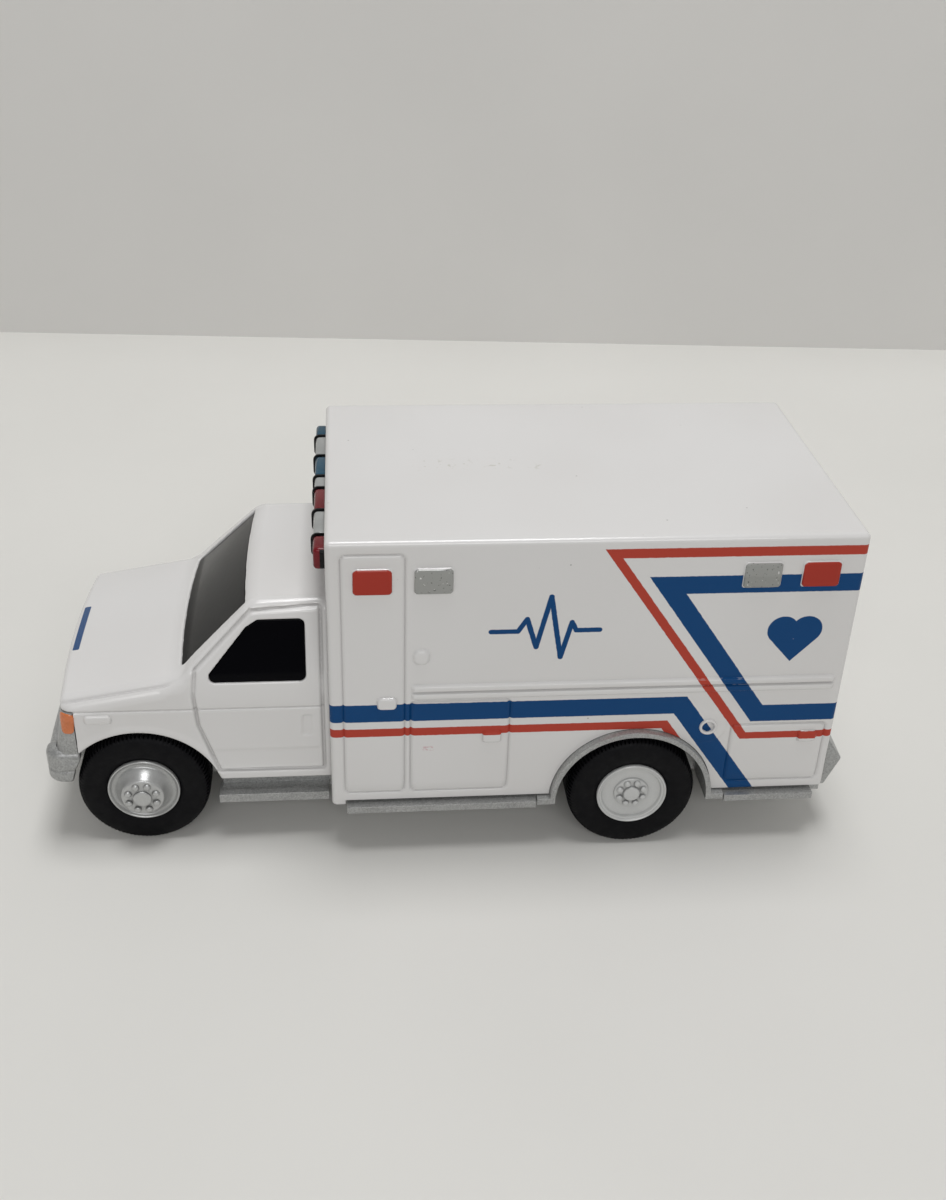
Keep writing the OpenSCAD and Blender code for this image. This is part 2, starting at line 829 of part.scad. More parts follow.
module box_shell() color("white") {
    hw = box_w / 2;
    difference() {
        union() {
            difference() {
                box_solid(0, base_top);
                box_solid(box_wall, base_top - 1);
            }
            box_legs();
            for (x = [box_front_post_x, box_rear_post_x])
                translate([x, 0, base_top])
                    cylinder(r = post_r, h = post_l);
            block([box_front + bite, -post_r, base_top], [box_front_post_x, post_r, base_top + post_l]);
            block([box_rear_post_x, -post_r, base_top], [box_rear - bite, post_r, base_top + post_l]);
            both_sides()
                across(-hw - boss_h, bite - hw)
                    side_bosses();
            rear_bosses();
        }
        cross_rod(rear_axle_x, tub_z, tub_out_r + fit_gap * 2, far);
        // Moulded lines of the entry door and the lockers on each side
        both_sides()
            across(-hw - bite, line_d - hw) {
                rect_ring([entry_front, sill_z], [entry_rear, entry_top], line_w, line_r);
                rect_ring([locker_front, sill_z], [locker_rear, locker_top], line_w, line_r);
                rect_ring([rear_locker_rear - rear_locker_l, sill_z], [rear_locker_rear, rear_locker_top],
                    line_w, line_r);
            }
        // Moulded lines of the two rear doors
        both_sides()
            along(box_rear - line_d, box_rear + bite)
                rect_ring([-rear_door_hw, rear_bumper_top + rear_door_sill],
                    [-line_w / 4, entry_top - rear_door_head], line_w, line_r);
        // Holes for the light bar's pegs and the screws
        both_sides()
            translate([box_front - bite, -outer_lamp_y, bar_z])
                rotate([0, 90, 0])
                    cylinder(r = peg_r + fit_gap, h = box_wall + 2 * bite);
        for (x = [box_front_post_x, box_rear_post_x])
            translate([x, 0, 0])
                cylinder(r = screw_r + fit_gap / 2, h = base_top + post_l - post_cap);
    }
}

// The two front corners run a little lower than the rest of the body
module box_legs() {
    hw = box_w / 2;
    foot_z = base_top - leg_drop + leg_l / 2;
    both_sides()
        intersection() {
            box_solid(0, base_top - leg_drop);
            union() {
                block([box_front, -hw, foot_z], [box_front + leg_l, leg_w - hw, base_top + leg_w]);
                translate([box_front + leg_l / 2, leg_w - hw, foot_z])
                    rotate([90, 0, 0])
                        cylinder(d = leg_l, h = leg_w);
            }
        }
}

// Raised shapes on one side of the body: lamps, rub rail, handles, knob and filler
module side_bosses() {
    ridge_gap = 0.3;
    ridge_h = (rail_h - ridge_gap) / 2;
    ridge_r = ridge_h * 0.4;
    knob_l = 2.1;
    knob_h = 2.3;
    knob_r = 0.9;
    filler_r = 1.35;
    filler_bore_r = 0.75;
    for (x = LAMPS)
        translate([x, lamp_z])
            rounded_rect(lamp_l, lamp_h, lamp_r);
    for (s = [-1, 1])
        translate([(rail_front + rail_rear) / 2, rail_z + s * (rail_h - ridge_h) / 2])
            rounded_rect(rail_rear - rail_front, ridge_h, ridge_r);
    for (p = HANDLES)
        translate(p)
            rounded_rect(handle_l, handle_h, handle_r);
    translate([rail_front + knob_set, rail_z + knob_rise])
        rounded_rect(knob_l, knob_h, knob_r);
    translate([rear_axle_x + filler_set, rear_locker_top])
        difference() {
            circle(r = filler_r);
            circle(r = filler_bore_r);
        }
}

// Lamps and handles on the rear doors
module rear_bosses() {
    rear_lamp_set = 4.6;
    rear_handle_y = 2.3;
    rear_handle_w = 1.4;
    rear_handle_h = 4;
    both_sides()
        along(box_rear - bite, box_rear + boss_h) {
            translate([rear_lamp_set - box_w / 2, lamp_z])
                rounded_rect(lamp_l, lamp_h, lamp_r);
            translate([-rear_handle_y, rail_z])
                rounded_rect(rear_handle_w, rear_handle_h, handle_r);
        }
}

// Lining of a rear wheel's arch: a half ring with an inner wall, an outer lip and two feet
module wheel_arch() color("silver") {
    lip_y = -box_w / 2 - flare_proud;
    foot_rise = 0.3;
    low = step_top - foot_h + foot_rise;
    wall_y = -tub_side;
    difference() {
        union() {
            intersection() {
                difference() {
                    across(lip_y, wall_y + tub_t)
                        translate([rear_axle_x, tub_z])
                            circle(tub_out_r);
                    across(lip_y - 1, wall_y)
                        translate([rear_axle_x, tub_z])
                            circle(tub_r);
                }
                block([-far, -far, low], [far, far, far]);
            }
            for (s = [-1, 1])
                translate([rear_axle_x + s * (tub_r + (tub_t + foot_l) / 2), 0, 0])
                    block([-(foot_l + tub_t) / 2, lip_y, low],
                        [(foot_l + tub_t) / 2, -plate_hw - 2 * fit_gap, low + foot_h]);
        }
        cross_rod(rear_axle_x, axle_z, axle_r + wheel_gap, far);
    }
}
module left_wheel_arch() {
    wheel_arch();
}
module right_wheel_arch() {
    mirror([0, 1, 0])
        wheel_arch();
}

// Light bar

module light_bar_base() color([0.06, 0.06, 0.07]) {
    back_r = 0.6;
    web_set = 0.3;
    along(box_front - bar_back_t, box_front)
        translate([0, bar_z])
            rounded_rect(2 * bar_hl, bar_h, back_r);
    both_sides() {
        translate([box_front - bite, -outer_lamp_y, bar_z])
            rotate([0, 90, 0])
                cylinder(r = peg_r, h = box_wall + bite);
        // Webs between the lamps
        for (y = [centre_lamp_l / 2, centre_lamp_l / 2 + inner_lamp_l, bar_hl - end_lamp_l])
            block([box_front - bar_reach + web_set, -y - lamp_gap / 2, bar_top - bar_h + web_set],
                [box_front - bar_back_t + bite, lamp_gap / 2 - y, bar_top - web_set]);
    }
}

// One lamp of the light bar, with its front corners rounded
module bar_lamp(y, l) {
    deep = bar_reach - bar_back_t;
    high = bar_h - 2 * lamp_lip;
    r = 0.45;
    translate([box_front - bar_back_t - deep / 2, y, bar_z])
        intersection() {
            linear_extrude(high, center = true)
                translate([r / 2, 0])
                    rounded_rect(deep + r, l - lamp_gap - 2 * fit_gap, r);
            across(-l, l)
                translate([r / 2, 0])
                    rounded_rect(deep + r, high, r);
            translate([-deep / 2, -l, -bar_h])
                cube([deep, 2 * l, 2 * bar_h]);
        }
}
module light_bar_red_lamps() color([0.55, 0.08, 0.12]) {
    bar_lamp(-end_lamp_y, end_lamp_l);
    bar_lamp(-inner_lamp_y, inner_lamp_l);
}
module light_bar_clear_lamps() color([0.6, 0.62, 0.62]) {
    bar_lamp(0, centre_lamp_l);
    bar_lamp(-outer_lamp_y, outer_lamp_l);
    bar_lamp(outer_lamp_y, outer_lamp_l);
}
module light_bar_blue_lamps() color([0.1, 0.28, 0.42]) {
    bar_lamp(inner_lamp_y, inner_lamp_l);
    bar_lamp(end_lamp_y, end_lamp_l);
}

// Wheels, made about Z with the outer face at zero and the inner face above it

module tyre() {
    band = tyre_r - bead_r;
    rotate_extrude($fn = 96)
        difference() {
            translate([bead_r + band / 2, tyre_w / 2])
                rounded_rect(band, tyre_w, shoulder_r);
            translate([0, -bite])
                square([rim_r + fit_gap, lip_t + fit_gap + bite]);
            translate([0, rim_in])
                square([rim_r + fit_gap, far]);
        }
}

// The shared rim: barrel, outer lip and inner flange, hollow behind its face
module rim_barrel() {
    barrel_t = 0.6;
    face_t = 2.4;
    hollow_r = bead_r - barrel_t;
    difference() {
        union() {
            cylinder(r = bead_r, h = rim_in);
            cylinder(r = rim_r, h = lip_t);
        }
        translate([0, 0, face_t])
            difference() {
                cylinder(r = hollow_r, h = far);
                cylinder(r = hub_r, h = far);
            }
    }
}

module wheel_nuts(circle_r, nut_r, low, h) {
    for (i = [0 : nut_count - 1])
        rotate(i * 360 / nut_count)
            translate([circle_r, 0, low])
                cylinder(r = nut_r, h = h, $fn = 24);
}

// Front rims bulge outwards round their nuts
module front_rim() color([0.7, 0.72, 0.73]) {
    lip_w = 0.3;
    dome_r = rim_r - 1;
    flat_r = 2.75;
    cap_r = 1.25;
    cap_h = 0.4;
    nut_ring_r = 2.05;
    nut_r = 0.42;
    nut_h = 0.35;
    difference() {
        union() {
            rim_barrel();
            rotate_extrude()
                polygon([[0, bite], [dome_r, bite], [dome_r, 0], [dome_r - 0.45, -1.2],
                    [flat_r, 0.25 - front_face], [flat_r - 0.3, -front_face], [0, -front_face]]);
            translate([0, 0, -front_face - cap_h])
                cylinder(r = cap_r, h = cap_h + bite);
            wheel_nuts(nut_ring_r, nut_r, -front_face - nut_h, nut_h + bite);
        }
        translate([0, 0, front_axle_end])
            cylinder(r = axle_r, h = far);
        // A groove inside the lip
        rotate_extrude()
            polygon([[dome_r, -bite], [rim_r - lip_w, -bite], [rim_r - lip_w, 0], [dome_r, lip_w]]);
    }
}

// Rear rims are flat and a little sunk
module rear_rim() color([0.75, 0.76, 0.76]) {
    lip_w = 0.55;
    face_r = rim_r - lip_w;
    sunk = 0.35;
    plate_r = 2.35;
    plate_h = 0.15;
    cap_r = 1.15;
    cap_h = 0.45;
    nut_ring_r = 1.75;
    nut_r = 0.36;
    nut_h = 0.4;
    difference() {
        union() {
            difference() {
                rim_barrel();
                translate([0, 0, -bite])
                    cylinder(r = face_r, h = sunk + bite);
            }
            translate([0, 0, sunk - plate_h])
                cylinder(r = plate_r, h = plate_h + bite);
            translate([0, 0, sunk - cap_h])
                cylinder(r = cap_r, h = cap_h + bite);
            wheel_nuts(nut_ring_r, nut_r, sunk - nut_h, nut_h + bite);
        }
        translate([0, 0, rear_axle_end])
            cylinder(r = axle_r, h = far);
    }
}

// Places a wheel piece on the left or the right end of an axle
module at_wheel(x, out, right) {
    mirror([0, right ? 1 : 0, 0])
        translate([x, -out, axle_z])
            rotate([-90, 0, 0])
                children();
}
module front_left_rim() {
    at_wheel(front_axle_x, front_out, false)
        front_rim();
}
module front_right_rim() {
    at_wheel(front_axle_x, front_out, true)
        front_rim();
}
module rear_left_rim() {
    at_wheel(rear_axle_x, rear_out, false)
        rear_rim();
}
module rear_right_rim() {
    at_wheel(rear_axle_x, rear_out, true)
        rear_rim();
}
module front_left_tyre() color([0.07, 0.07, 0.08]) {
    at_wheel(front_axle_x, front_out, false)
        tyre();
}
module front_right_tyre() color([0.07, 0.07, 0.08]) {
    at_wheel(front_axle_x, front_out, true)
        tyre();
}
module rear_left_tyre() color([0.07, 0.07, 0.08]) {
    at_wheel(rear_axle_x, rear_out, false)
        tyre();
}
module rear_right_tyre() color([0.07, 0.07, 0.08]) {
    at_wheel(rear_axle_x, rear_out, true)
        tyre();
}
module front_axle() color([0.75, 0.76, 0.78]) {
    cross_rod(front_axle_x, axle_z, axle_r, front_out - front_axle_end);
}
module rear_axle() color([0.75, 0.76, 0.78]) {
    cross_rod(rear_axle_x, axle_z, axle_r, rear_out - rear_axle_end);
}

// Screws from below, with cross slots in their heads
module base_screws() color([0.45, 0.46, 0.48]) {
    head_low = base_bottom - screw_boss_drop + 0.1;
    slot_l = 2.2;
    slot_w = 0.4;
    slot_d = 0.5;
    for (x = SCREWS)
        translate([x, 0, head_low])
            difference() {
                union() {
                    cylinder(r = screw_head_r, h = screw_head_t);
                    cylinder(r = screw_r, h = screw_head_t + screw_l);
                }
                for (a = [0, 90])
                    rotate(a)
                        block([-slot_l / 2, -slot_w / 2, -bite], [slot_l / 2, slot_w / 2, slot_d]);
            }
}

chassis_base();
front_bumper();
rear_bumper();
grille_panel();
cab_shell();
cab_glazing();
box_shell();
left_wheel_arch();
right_wheel_arch();
light_bar_base();
light_bar_red_lamps();
light_bar_clear_lamps();
light_bar_blue_lamps();
front_axle();
rear_axle();
front_left_rim();
front_right_rim();
rear_left_rim();
rear_right_rim();
front_left_tyre();
front_right_tyre();
rear_left_tyre();
rear_right_tyre();
base_screws();
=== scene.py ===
"""Dresses the toy ambulance: moulded shells, glazing, wheels, finishes, floor, light and camera.

Shapes are worked out in millimetres and placed in metres. X runs to the tail, -Y is the side in view.
"""
import json
import math
from functools import partialmethod, reduce

import bmesh
import bpy
import numpy as np
from mathutils import Matrix, Vector


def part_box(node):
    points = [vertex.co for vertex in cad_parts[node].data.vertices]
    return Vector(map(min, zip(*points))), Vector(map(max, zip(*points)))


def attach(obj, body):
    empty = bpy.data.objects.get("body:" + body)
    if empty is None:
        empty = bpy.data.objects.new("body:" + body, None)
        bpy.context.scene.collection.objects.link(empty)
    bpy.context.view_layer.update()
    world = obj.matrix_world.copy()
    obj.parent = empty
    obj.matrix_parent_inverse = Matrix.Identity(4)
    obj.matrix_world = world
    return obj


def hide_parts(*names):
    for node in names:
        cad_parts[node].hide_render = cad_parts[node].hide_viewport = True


MM = 0.001
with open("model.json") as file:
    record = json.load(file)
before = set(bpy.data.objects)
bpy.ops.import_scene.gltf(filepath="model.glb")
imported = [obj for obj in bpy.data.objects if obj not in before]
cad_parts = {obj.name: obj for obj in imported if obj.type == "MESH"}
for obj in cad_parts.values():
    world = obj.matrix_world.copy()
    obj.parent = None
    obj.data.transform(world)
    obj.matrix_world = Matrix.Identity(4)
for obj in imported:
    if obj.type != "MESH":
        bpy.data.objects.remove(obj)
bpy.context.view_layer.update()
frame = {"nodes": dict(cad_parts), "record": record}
NODES = frame["nodes"]


def node_box(name):
    """A node's lowest and highest corner in millimetres."""
    return [np.round(np.array(corner) / MM, 3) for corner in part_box(name)]


# Places taken from the frame

BOSS_H = 0.45
EDGE_R = 0.7
FOOT_R = EDGE_R * 0.6
LEG_H = 0.9
BOX_LOW, BOX_HIGH = node_box("box_shell")
BOX_FRONT = BOX_LOW[0]
BOX_REAR = BOX_HIGH[0] - BOSS_H
BOX_HW = BOX_HIGH[1] - BOSS_H
BOX_TOP = BOX_HIGH[2]
BOX_FOOT = BOX_LOW[2]
BOX_BOTTOM = BOX_FOOT + LEG_H
BOX_MID = (BOX_FRONT + BOX_REAR) / 2
CAB_HIGH = node_box("cab_shell")[1]
CAB_HW = CAB_HIGH[1]
CAB_REAR = CAB_HIGH[0]
ROOF_TOP = CAB_HIGH[2]
FRONT_X = node_box("front_bumper")[0][0]
NOSE_X = FRONT_X + 2.6
CAB_FRONT = NOSE_X + 1.1
REAR_X = node_box("rear_bumper")[1][0]
TYRE_LOW, TYRE_HIGH = node_box("front_left_tyre")
REAR_TYRE_LOW, REAR_TYRE_HIGH = node_box("rear_left_tyre")
TYRE_R = (TYRE_HIGH[2] - TYRE_LOW[2]) / 2
TYRE_W = TYRE_HIGH[1] - TYRE_LOW[1]
AXLE_Z = TYRE_LOW[2] + TYRE_R
FRONT_AXLE_X = (TYRE_LOW[0] + TYRE_HIGH[0]) / 2
REAR_AXLE_X = (REAR_TYRE_LOW[0] + REAR_TYRE_HIGH[0]) / 2
BAR_LOW, BAR_HIGH = node_box("light_bar_base")


# Fields: negative inside, positive outside, in millimetres

def common(*fields):
    """Common part of fields, with sharp edges."""
    return reduce(np.maximum, fields)


def round_max(a, b, r):
    """Common part of two fields, with its outer edge rounded."""
    return np.minimum(-r, np.maximum(a, b)) + np.hypot(np.maximum(r + a, 0), np.maximum(r + b, 0))


def round_min(a, b, r):
    """Union of two fields, with its inner edge filled."""
    return np.maximum(r, np.minimum(a, b)) - np.hypot(np.maximum(r - a, 0), np.maximum(r - b, 0))


def rounded(f, *cuts):
    """Common part of a field and its cuts, each given with the radius of its edge."""
    for cut, r in cuts:
        f = round_max(f, cut, r)
    return f


def rect_field(u, v, middle, size, r):
    """Distance from a rectangle with rounded corners."""
    du = np.abs(u - middle[0]) - (size[0] / 2 - r)
    dv = np.abs(v - middle[1]) - (size[1] / 2 - r)
    outer = np.hypot(np.maximum(du, 0), np.maximum(dv, 0))
    return outer + np.minimum(np.maximum(du, dv), 0) - r


def polygon_field(u, v, points):
    """Distance from a closed outline."""
    best = np.inf
    sign = 1.0
    for i, a in enumerate(points):
        b = points[i - 1]
        eu, ev = b[0] - a[0], b[1] - a[1]
        wu, wv = u - a[0], v - a[1]
        t = np.clip((wu * eu + wv * ev) / (eu * eu + ev * ev), 0, 1)
        best = np.minimum(best, (wu - eu * t) ** 2 + (wv - ev * t) ** 2)
        above_a = v >= a[1]
        below_b = v < b[1]
        left = eu * wv > ev * wu
        crossing = (above_a & below_b & left) | (~above_a & ~below_b & ~left)
        sign = np.where(crossing, -sign, sign)
    return sign * np.sqrt(best)


def hump(d, half_w):
    """A soft bump, one in the middle and nought past its half width."""
    t = np.clip(np.abs(d) / half_w, 0, 1)
    return (1 - t * t) ** 2


def line_field(d, line):
    """A moulded line along an outline, given as its depth and half width."""
    depth, half_w = line
    return depth * hump(d, half_w)


def raised(d, edge):
    """One inside an outline and nought outside, with a rounded rim of the given width."""
    t = np.clip(-d / edge, 0, 1)
    return np.sqrt(1 - (1 - t) ** 2)


def ramp(d, low, high):
    """Goes smoothly from nought to one between low and high."""
    t = np.clip((d - low) / (high - low), 0, 1)
    return t * t * (3 - 2 * t)


# Meshes

WELD = 0.002
SLOPE_STEP = 0.02
SLOPE_LEAST = 0.05
BLOCK_SHARP = 50


def set_all(thing, **options):
    """Sets several properties at once."""
    for key, value in options.items():
        setattr(thing, key, value)
    return thing


def link_object(name, data):
    obj = bpy.data.objects.new(name, data)
    bpy.context.scene.collection.objects.link(obj)
    return obj


def dress(mesh, key):
    mesh.materials.clear()
    mesh.materials.append(MATERIALS[key])


def new_object(name, verts, faces, key, sharp=None):
    """Makes a smooth mesh object from points in millimetres, in the material of the given key."""
    mesh = bpy.data.meshes.new(name)
    mesh.from_pydata((np.asarray(verts, float) * MM).tolist(), [], [list(f) for f in faces])
    dress(mesh, key)
    finish_mesh(mesh, sharp)
    return link_object(name, mesh)


def finish_mesh(mesh, sharp=None):
    """Welds a mesh, turns the faces of solids outwards and shades it smooth up to the sharp angle."""
    bm = bmesh.new()
    bm.from_mesh(mesh)
    bmesh.ops.remove_doubles(bm, verts=bm.verts, dist=WELD * MM)
    if len(bm.faces) > 1:
        bmesh.ops.recalc_face_normals(bm, faces=bm.faces)
    bm.to_mesh(mesh)
    bm.free()
    mesh.shade_smooth()
    if sharp:
        mesh.set_sharp_from_angle(angle=math.radians(sharp))


def place(obj, body, slot, *nodes):
    """Rides a piece on its body and hides the nodes that it stands for. The slot is not used."""
    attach(obj, body)
    if nodes:
        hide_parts(*nodes)


def grid_faces(rows, cols, wrap=False):
    """Quads of a grid of points, whose columns can close into a ring."""
    last = cols if wrap else cols - 1
    i, j = np.meshgrid(np.arange(rows - 1), np.arange(last), indexing="ij")
    k = (j + 1) % cols
    quads = np.stack([i * cols + j, i * cols + k, (i + 1) * cols + k, (i + 1) * cols + j], -1)
    return quads.reshape(-1, 4).tolist()


def merged(*parts):
    """Joins meshes, each given as its points and faces."""
    all_points, all_faces = [], []
    count = 0
    for points, faces in parts:
        all_points.append(points)
        all_faces += [[v + count for v in f] for f in faces]
        count += len(points)
    return np.concatenate(all_points), all_faces


def join_diagonals(inside):
    """Fills in between samples that meet only across a diagonal, so that no edge gets four faces."""
    for _ in range(4):
        for a, b in ((0, 1), (0, 2), (1, 2)):
            plane = np.moveaxis(inside, (a, b), (0, 1))
            corners = plane[:-1, :-1], plane[1:, 1:], plane[1:, :-1], plane[:-1, 1:]
            crossed = (corners[0] == corners[1]) & (corners[2] == corners[3]) & (corners[0] != corners[2])
            for corner in corners:
                corner |= crossed
    return inside


def surface_net(field, low, high, step):
    """Meshes a field that is the same on both sides: one point per crossed cell, moved onto the surface."""
    xs = np.arange(low[0], high[0] + step, step)
    half = np.arange(step / 2, high[1] + step, step)
    zs = np.arange(low[2], high[2] + step, step)
    values = field(xs[:, None, None], half[None, :, None], zs[None, None, :])
    values = np.broadcast_to(values, (len(xs), len(half), len(zs)))
    inside = join_diagonals(np.concatenate([values[:, ::-1], values], axis=1) < 0)
    ys = np.concatenate([-half[::-1], half])
    nx, ny, nz = np.array(inside.shape) - 1
    count = sum(inside[i:nx + i, j:ny + j, k:nz + k].astype(int) for i, j, k in np.ndindex(2, 2, 2))
    crossed = (count > 0) & (count < 8)
    index = np.full(crossed.shape, -1)
    index[crossed] = np.arange(crossed.sum())
    cell = np.argwhere(crossed)
    points = np.stack([xs[cell[:, 0]], ys[cell[:, 1]], zs[cell[:, 2]]], 1) + step / 2
    faces = []
    for axis in range(3):
        ins = np.moveaxis(inside, axis, 0)
        ids = np.moveaxis(index, axis, 0)
        i, j, k = np.nonzero(ins[1:, 1:-1, 1:-1] != ins[:-1, 1:-1, 1:-1])
        quad = np.stack([ids[i, j, k], ids[i, j + 1, k], ids[i, j + 1, k + 1], ids[i, j, k + 1]], 1)
        flip = ins[i, j + 1, k + 1] if axis != 1 else ~ins[i, j + 1, k + 1]
        quad[~flip] = quad[~flip][:, ::-1]
        faces.append(quad)
    faces = np.concatenate(faces)
    start = points.copy()
    for relax in (True, True, False, False):
        points = to_surface(field, points, start, step)
        if relax:
            points = even_out(points, faces)
    return points, faces


def to_surface(field, points, start, step):
    """Moves points along the field's slope onto its zero level, within their own cells."""
    h = SLOPE_STEP
    x, y, z = points.T
    side = np.where(y < 0, -1.0, 1.0)
    y = np.abs(y)
    f = field(x, y, z)
    slope = [field(x + h, y, z) - f, (field(x, y + h, z) - f) * side, field(x, y, z + h) - f]
    slope = np.stack(slope, 1) / h
    size = np.maximum((slope ** 2).sum(1), SLOPE_LEAST)
    moved = points - slope * (f / size)[:, None]
    return np.clip(moved, start - step, start + step)


def even_out(points, faces):
    """Draws each point half way to the mean of its neighbours."""
    total = np.zeros_like(points)
    hits = np.zeros(len(points))
    for a, b in ((0, 1), (1, 2), (2, 3), (3, 0)):
        for p, q in ((a, b), (b, a)):
            for axis in range(3):
                total[:, axis] += np.bincount(faces[:, p], points[faces[:, q], axis], len(points))
            hits += np.bincount(faces[:, p], minlength=len(points))
    return points * 0.5 + total / np.maximum(hits, 1)[:, None] * 0.5


def net_object(name, field, low, high, step, key, sharp=None):
    points, faces = surface_net(field, low, high, step)
    return new_object(name, points, faces.tolist(), key, sharp)


def lathe(profile, segments, close=True):
    """Turns a profile of (radius, along) points about the Y axis."""
    angles = np.linspace(0, 2 * math.pi, segments, endpoint=False)
    profile = np.asarray(profile, float)
    if close:
        profile = np.vstack([profile, profile[:1]])
    r, along = profile[:, :1], profile[:, 1:]
    points = np.stack([r * np.cos(angles), np.repeat(along, segments, 1), r * np.sin(angles)], -1)
    return points.reshape(-1, 3), grid_faces(len(profile), segments, wrap=True)


def block_object(name, low, high, r, key, segments):
    """A block with rounded edges."""
    low, high = np.asarray(low, float), np.asarray(high, float)
    bm = bmesh.new()
    bmesh.ops.create_cube(bm, size=1)
    for v in bm.verts:
        v.co = Vector(((low + high) / 2 + np.array(v.co) * (high - low)).tolist())
    bmesh.ops.bevel(bm, geom=list(bm.edges), offset=r, segments=segments, profile=0.5, affect="EDGES")
    bm.verts.index_update()
    verts = [np.array(v.co) for v in bm.verts]
    faces = [[v.index for v in f.verts] for f in bm.faces]
    bm.free()
    return new_object(name, verts, faces, key, BLOCK_SHARP)


def cut_away(obj, *cutters):
    """Takes the cutters out of an object's mesh and removes them."""
    for cutter in cutters:
        cut = obj.modifiers.new("cut", "BOOLEAN")
        set_all(cut, operation="DIFFERENCE", solver="MANIFOLD", object=cutter)
    graph = bpy.context.evaluated_depsgraph_get()
    obj.data = bpy.data.meshes.new_from_object(obj.evaluated_get(graph))
    obj.modifiers.clear()
    for cutter in cutters:
        bpy.data.objects.remove(cutter)


# Material nodes

PRINT_EDGE = 0.05
PLASTIC_IOR = 1.5
NOISE_LOW = 0.3
NOISE_HIGH = 0.7


def feed(tree, slot, value):
    """Links a term or a socket to an input, or sets the input to a plain value."""
    if isinstance(value, Term):
        value = value.socket
    if isinstance(value, bpy.types.NodeSocket):
        tree.links.new(value, slot)
    else:
        slot.default_value = value


def add_node(tree, kind, inputs, **options):
    """Adds a shader node with its options and with what its inputs are fed."""
    node = set_all(tree.nodes.new("ShaderNode" + kind), **options)
    for key, value in inputs.items():
        feed(tree, node.inputs[key], value)
    return node


class Term:
    """A value in a node tree, with arithmetic that adds Math nodes."""

    def __init__(self, tree, socket):
        self.tree = tree
        self.socket = socket

    def math(self, operation, *others):
        node = add_node(self.tree, "Math", dict(enumerate((self, *others))), operation=operation)
        return Term(self.tree, node.outputs[0])

    __add__ = partialmethod(math, "ADD")
    __sub__ = partialmethod(math, "SUBTRACT")
    __rsub__ = partialmethod(math, "MULTIPLY_ADD", -1.0)
    __mul__ = partialmethod(math, "MULTIPLY")
    absolute = partialmethod(math, "ABSOLUTE")
    least = partialmethod(math, "MINIMUM")
    most = partialmethod(math, "MAXIMUM")

    def rise(self, low, high, bottom=0.0, top=1.0):
        """Goes from bottom to top as the value goes from low to high."""
        inputs = {"Value": self, "From Min": low, "From Max": high, "To Min": bottom, "To Max": top}
        node = add_node(self.tree, "MapRange", inputs, interpolation_type="SMOOTHSTEP")
        return Term(self.tree, node.outputs["Result"])

    def fall(self, low, high):
        """Goes from one to nought as the value goes from low to high."""
        return self.rise(low, high, 1.0, 0.0)

    def above(self):
        """One where the value is above nought, with the soft edge of a print."""
        return self.rise(-PRINT_EDGE, PRINT_EDGE)

    def below(self):
        return self.fall(-PRINT_EDGE, PRINT_EDGE)


class Finish:
    """A material under construction, with its shader, its tone and its coordinates in millimetres."""

    def __init__(self, name, **sockets):
        self.material = bpy.data.materials.new(name)
        self.material.use_nodes = True
        self.tree = self.material.node_tree
        self.shader = self.tree.nodes["Principled BSDF"]
        for key, value in sockets.items():
            self.shader.inputs[key.replace("_", " ")].default_value = value
        coords = self.add("TexCoord", {}).outputs["Object"]
        self.place = self.add("VectorMath", {0: coords, "Scale": 1 / MM}, operation="SCALE").outputs[0]
        split = self.add("SeparateXYZ", {0: self.place})
        self.x, self.y, self.z = (Term(self.tree, out) for out in split.outputs)
        self.tone = None

    def add(self, kind, inputs, **options):
        return add_node(self.tree, kind, inputs, **options)

    def noise(self, grain, detail, stretch=None):
        """Noise whose features are about one grain, in millimetres, across."""
        place = self.place
        if stretch:
            place = self.add("VectorMath", {0: place, 1: stretch}, operation="MULTIPLY").outputs[0]
        node = self.add("TexNoise", {"Scale": 1 / grain, "Detail": detail, "Vector": place})
        return Term(self.tree, node.outputs["Fac"])

    def cloud(self, grain, detail, bottom=0.0, top=1.0):
        """Noise whose usual range is spread from bottom to top."""
        return self.noise(grain, detail).rise(NOISE_LOW, NOISE_HIGH, bottom, top)

    def cells(self, grain, output):
        """Voronoi cells about one grain across."""
        node = self.add("TexVoronoi", {"Scale": 1 / grain, "Vector": self.place})
        return Term(self.tree, node.outputs[output])

    def crevice(self, reach):
        """How open the surface is to its own object within a reach in millimetres: 1 on a plain face."""
        node = self.add("AmbientOcclusion", {"Distance": reach * MM}, only_local=True, samples=8)
        return Term(self.tree, node.outputs["AO"])

    def mix(self, amount, first, second):
        """Mixes two colours, each a triple or a colour socket."""
        first, second = ((*c, 1) if isinstance(c, tuple) else c for c in (first, second))
        return self.add("Mix", {0: amount, 6: first, 7: second}, data_type="RGBA").outputs[2]

    def cover(self, amount, colour):
        """Lays a colour over the tone so far."""
        self.tone = self.mix(amount, self.tone, colour)

    def link(self, source, socket):
        feed(self.tree, self.shader.inputs[socket], source)

    def bump(self, height, distance):
        """Bump from a height term. The distance is in millimetres."""
        node = self.add("Bump", {"Strength": 1.0, "Distance": distance * MM, "Height": height})
        self.link(node.outputs["Normal"], "Normal")

    def made(self):
        """Links the tone and hands the material over."""
        self.link(self.tone, "Base Color")
        return self.material


def length(u, v):
    return (u * u + v * v).math("SQRT")


def rect_term(u, v, middle, size, r):
    """Distance from a rounded rectangle, as a term."""
    du = ((u - middle[0]).absolute() - (size[0] / 2 - r)).most(0.0)
    dv = ((v - middle[1]).absolute() - (size[1] / 2 - r)).most(0.0)
    return length(du, dv) - r


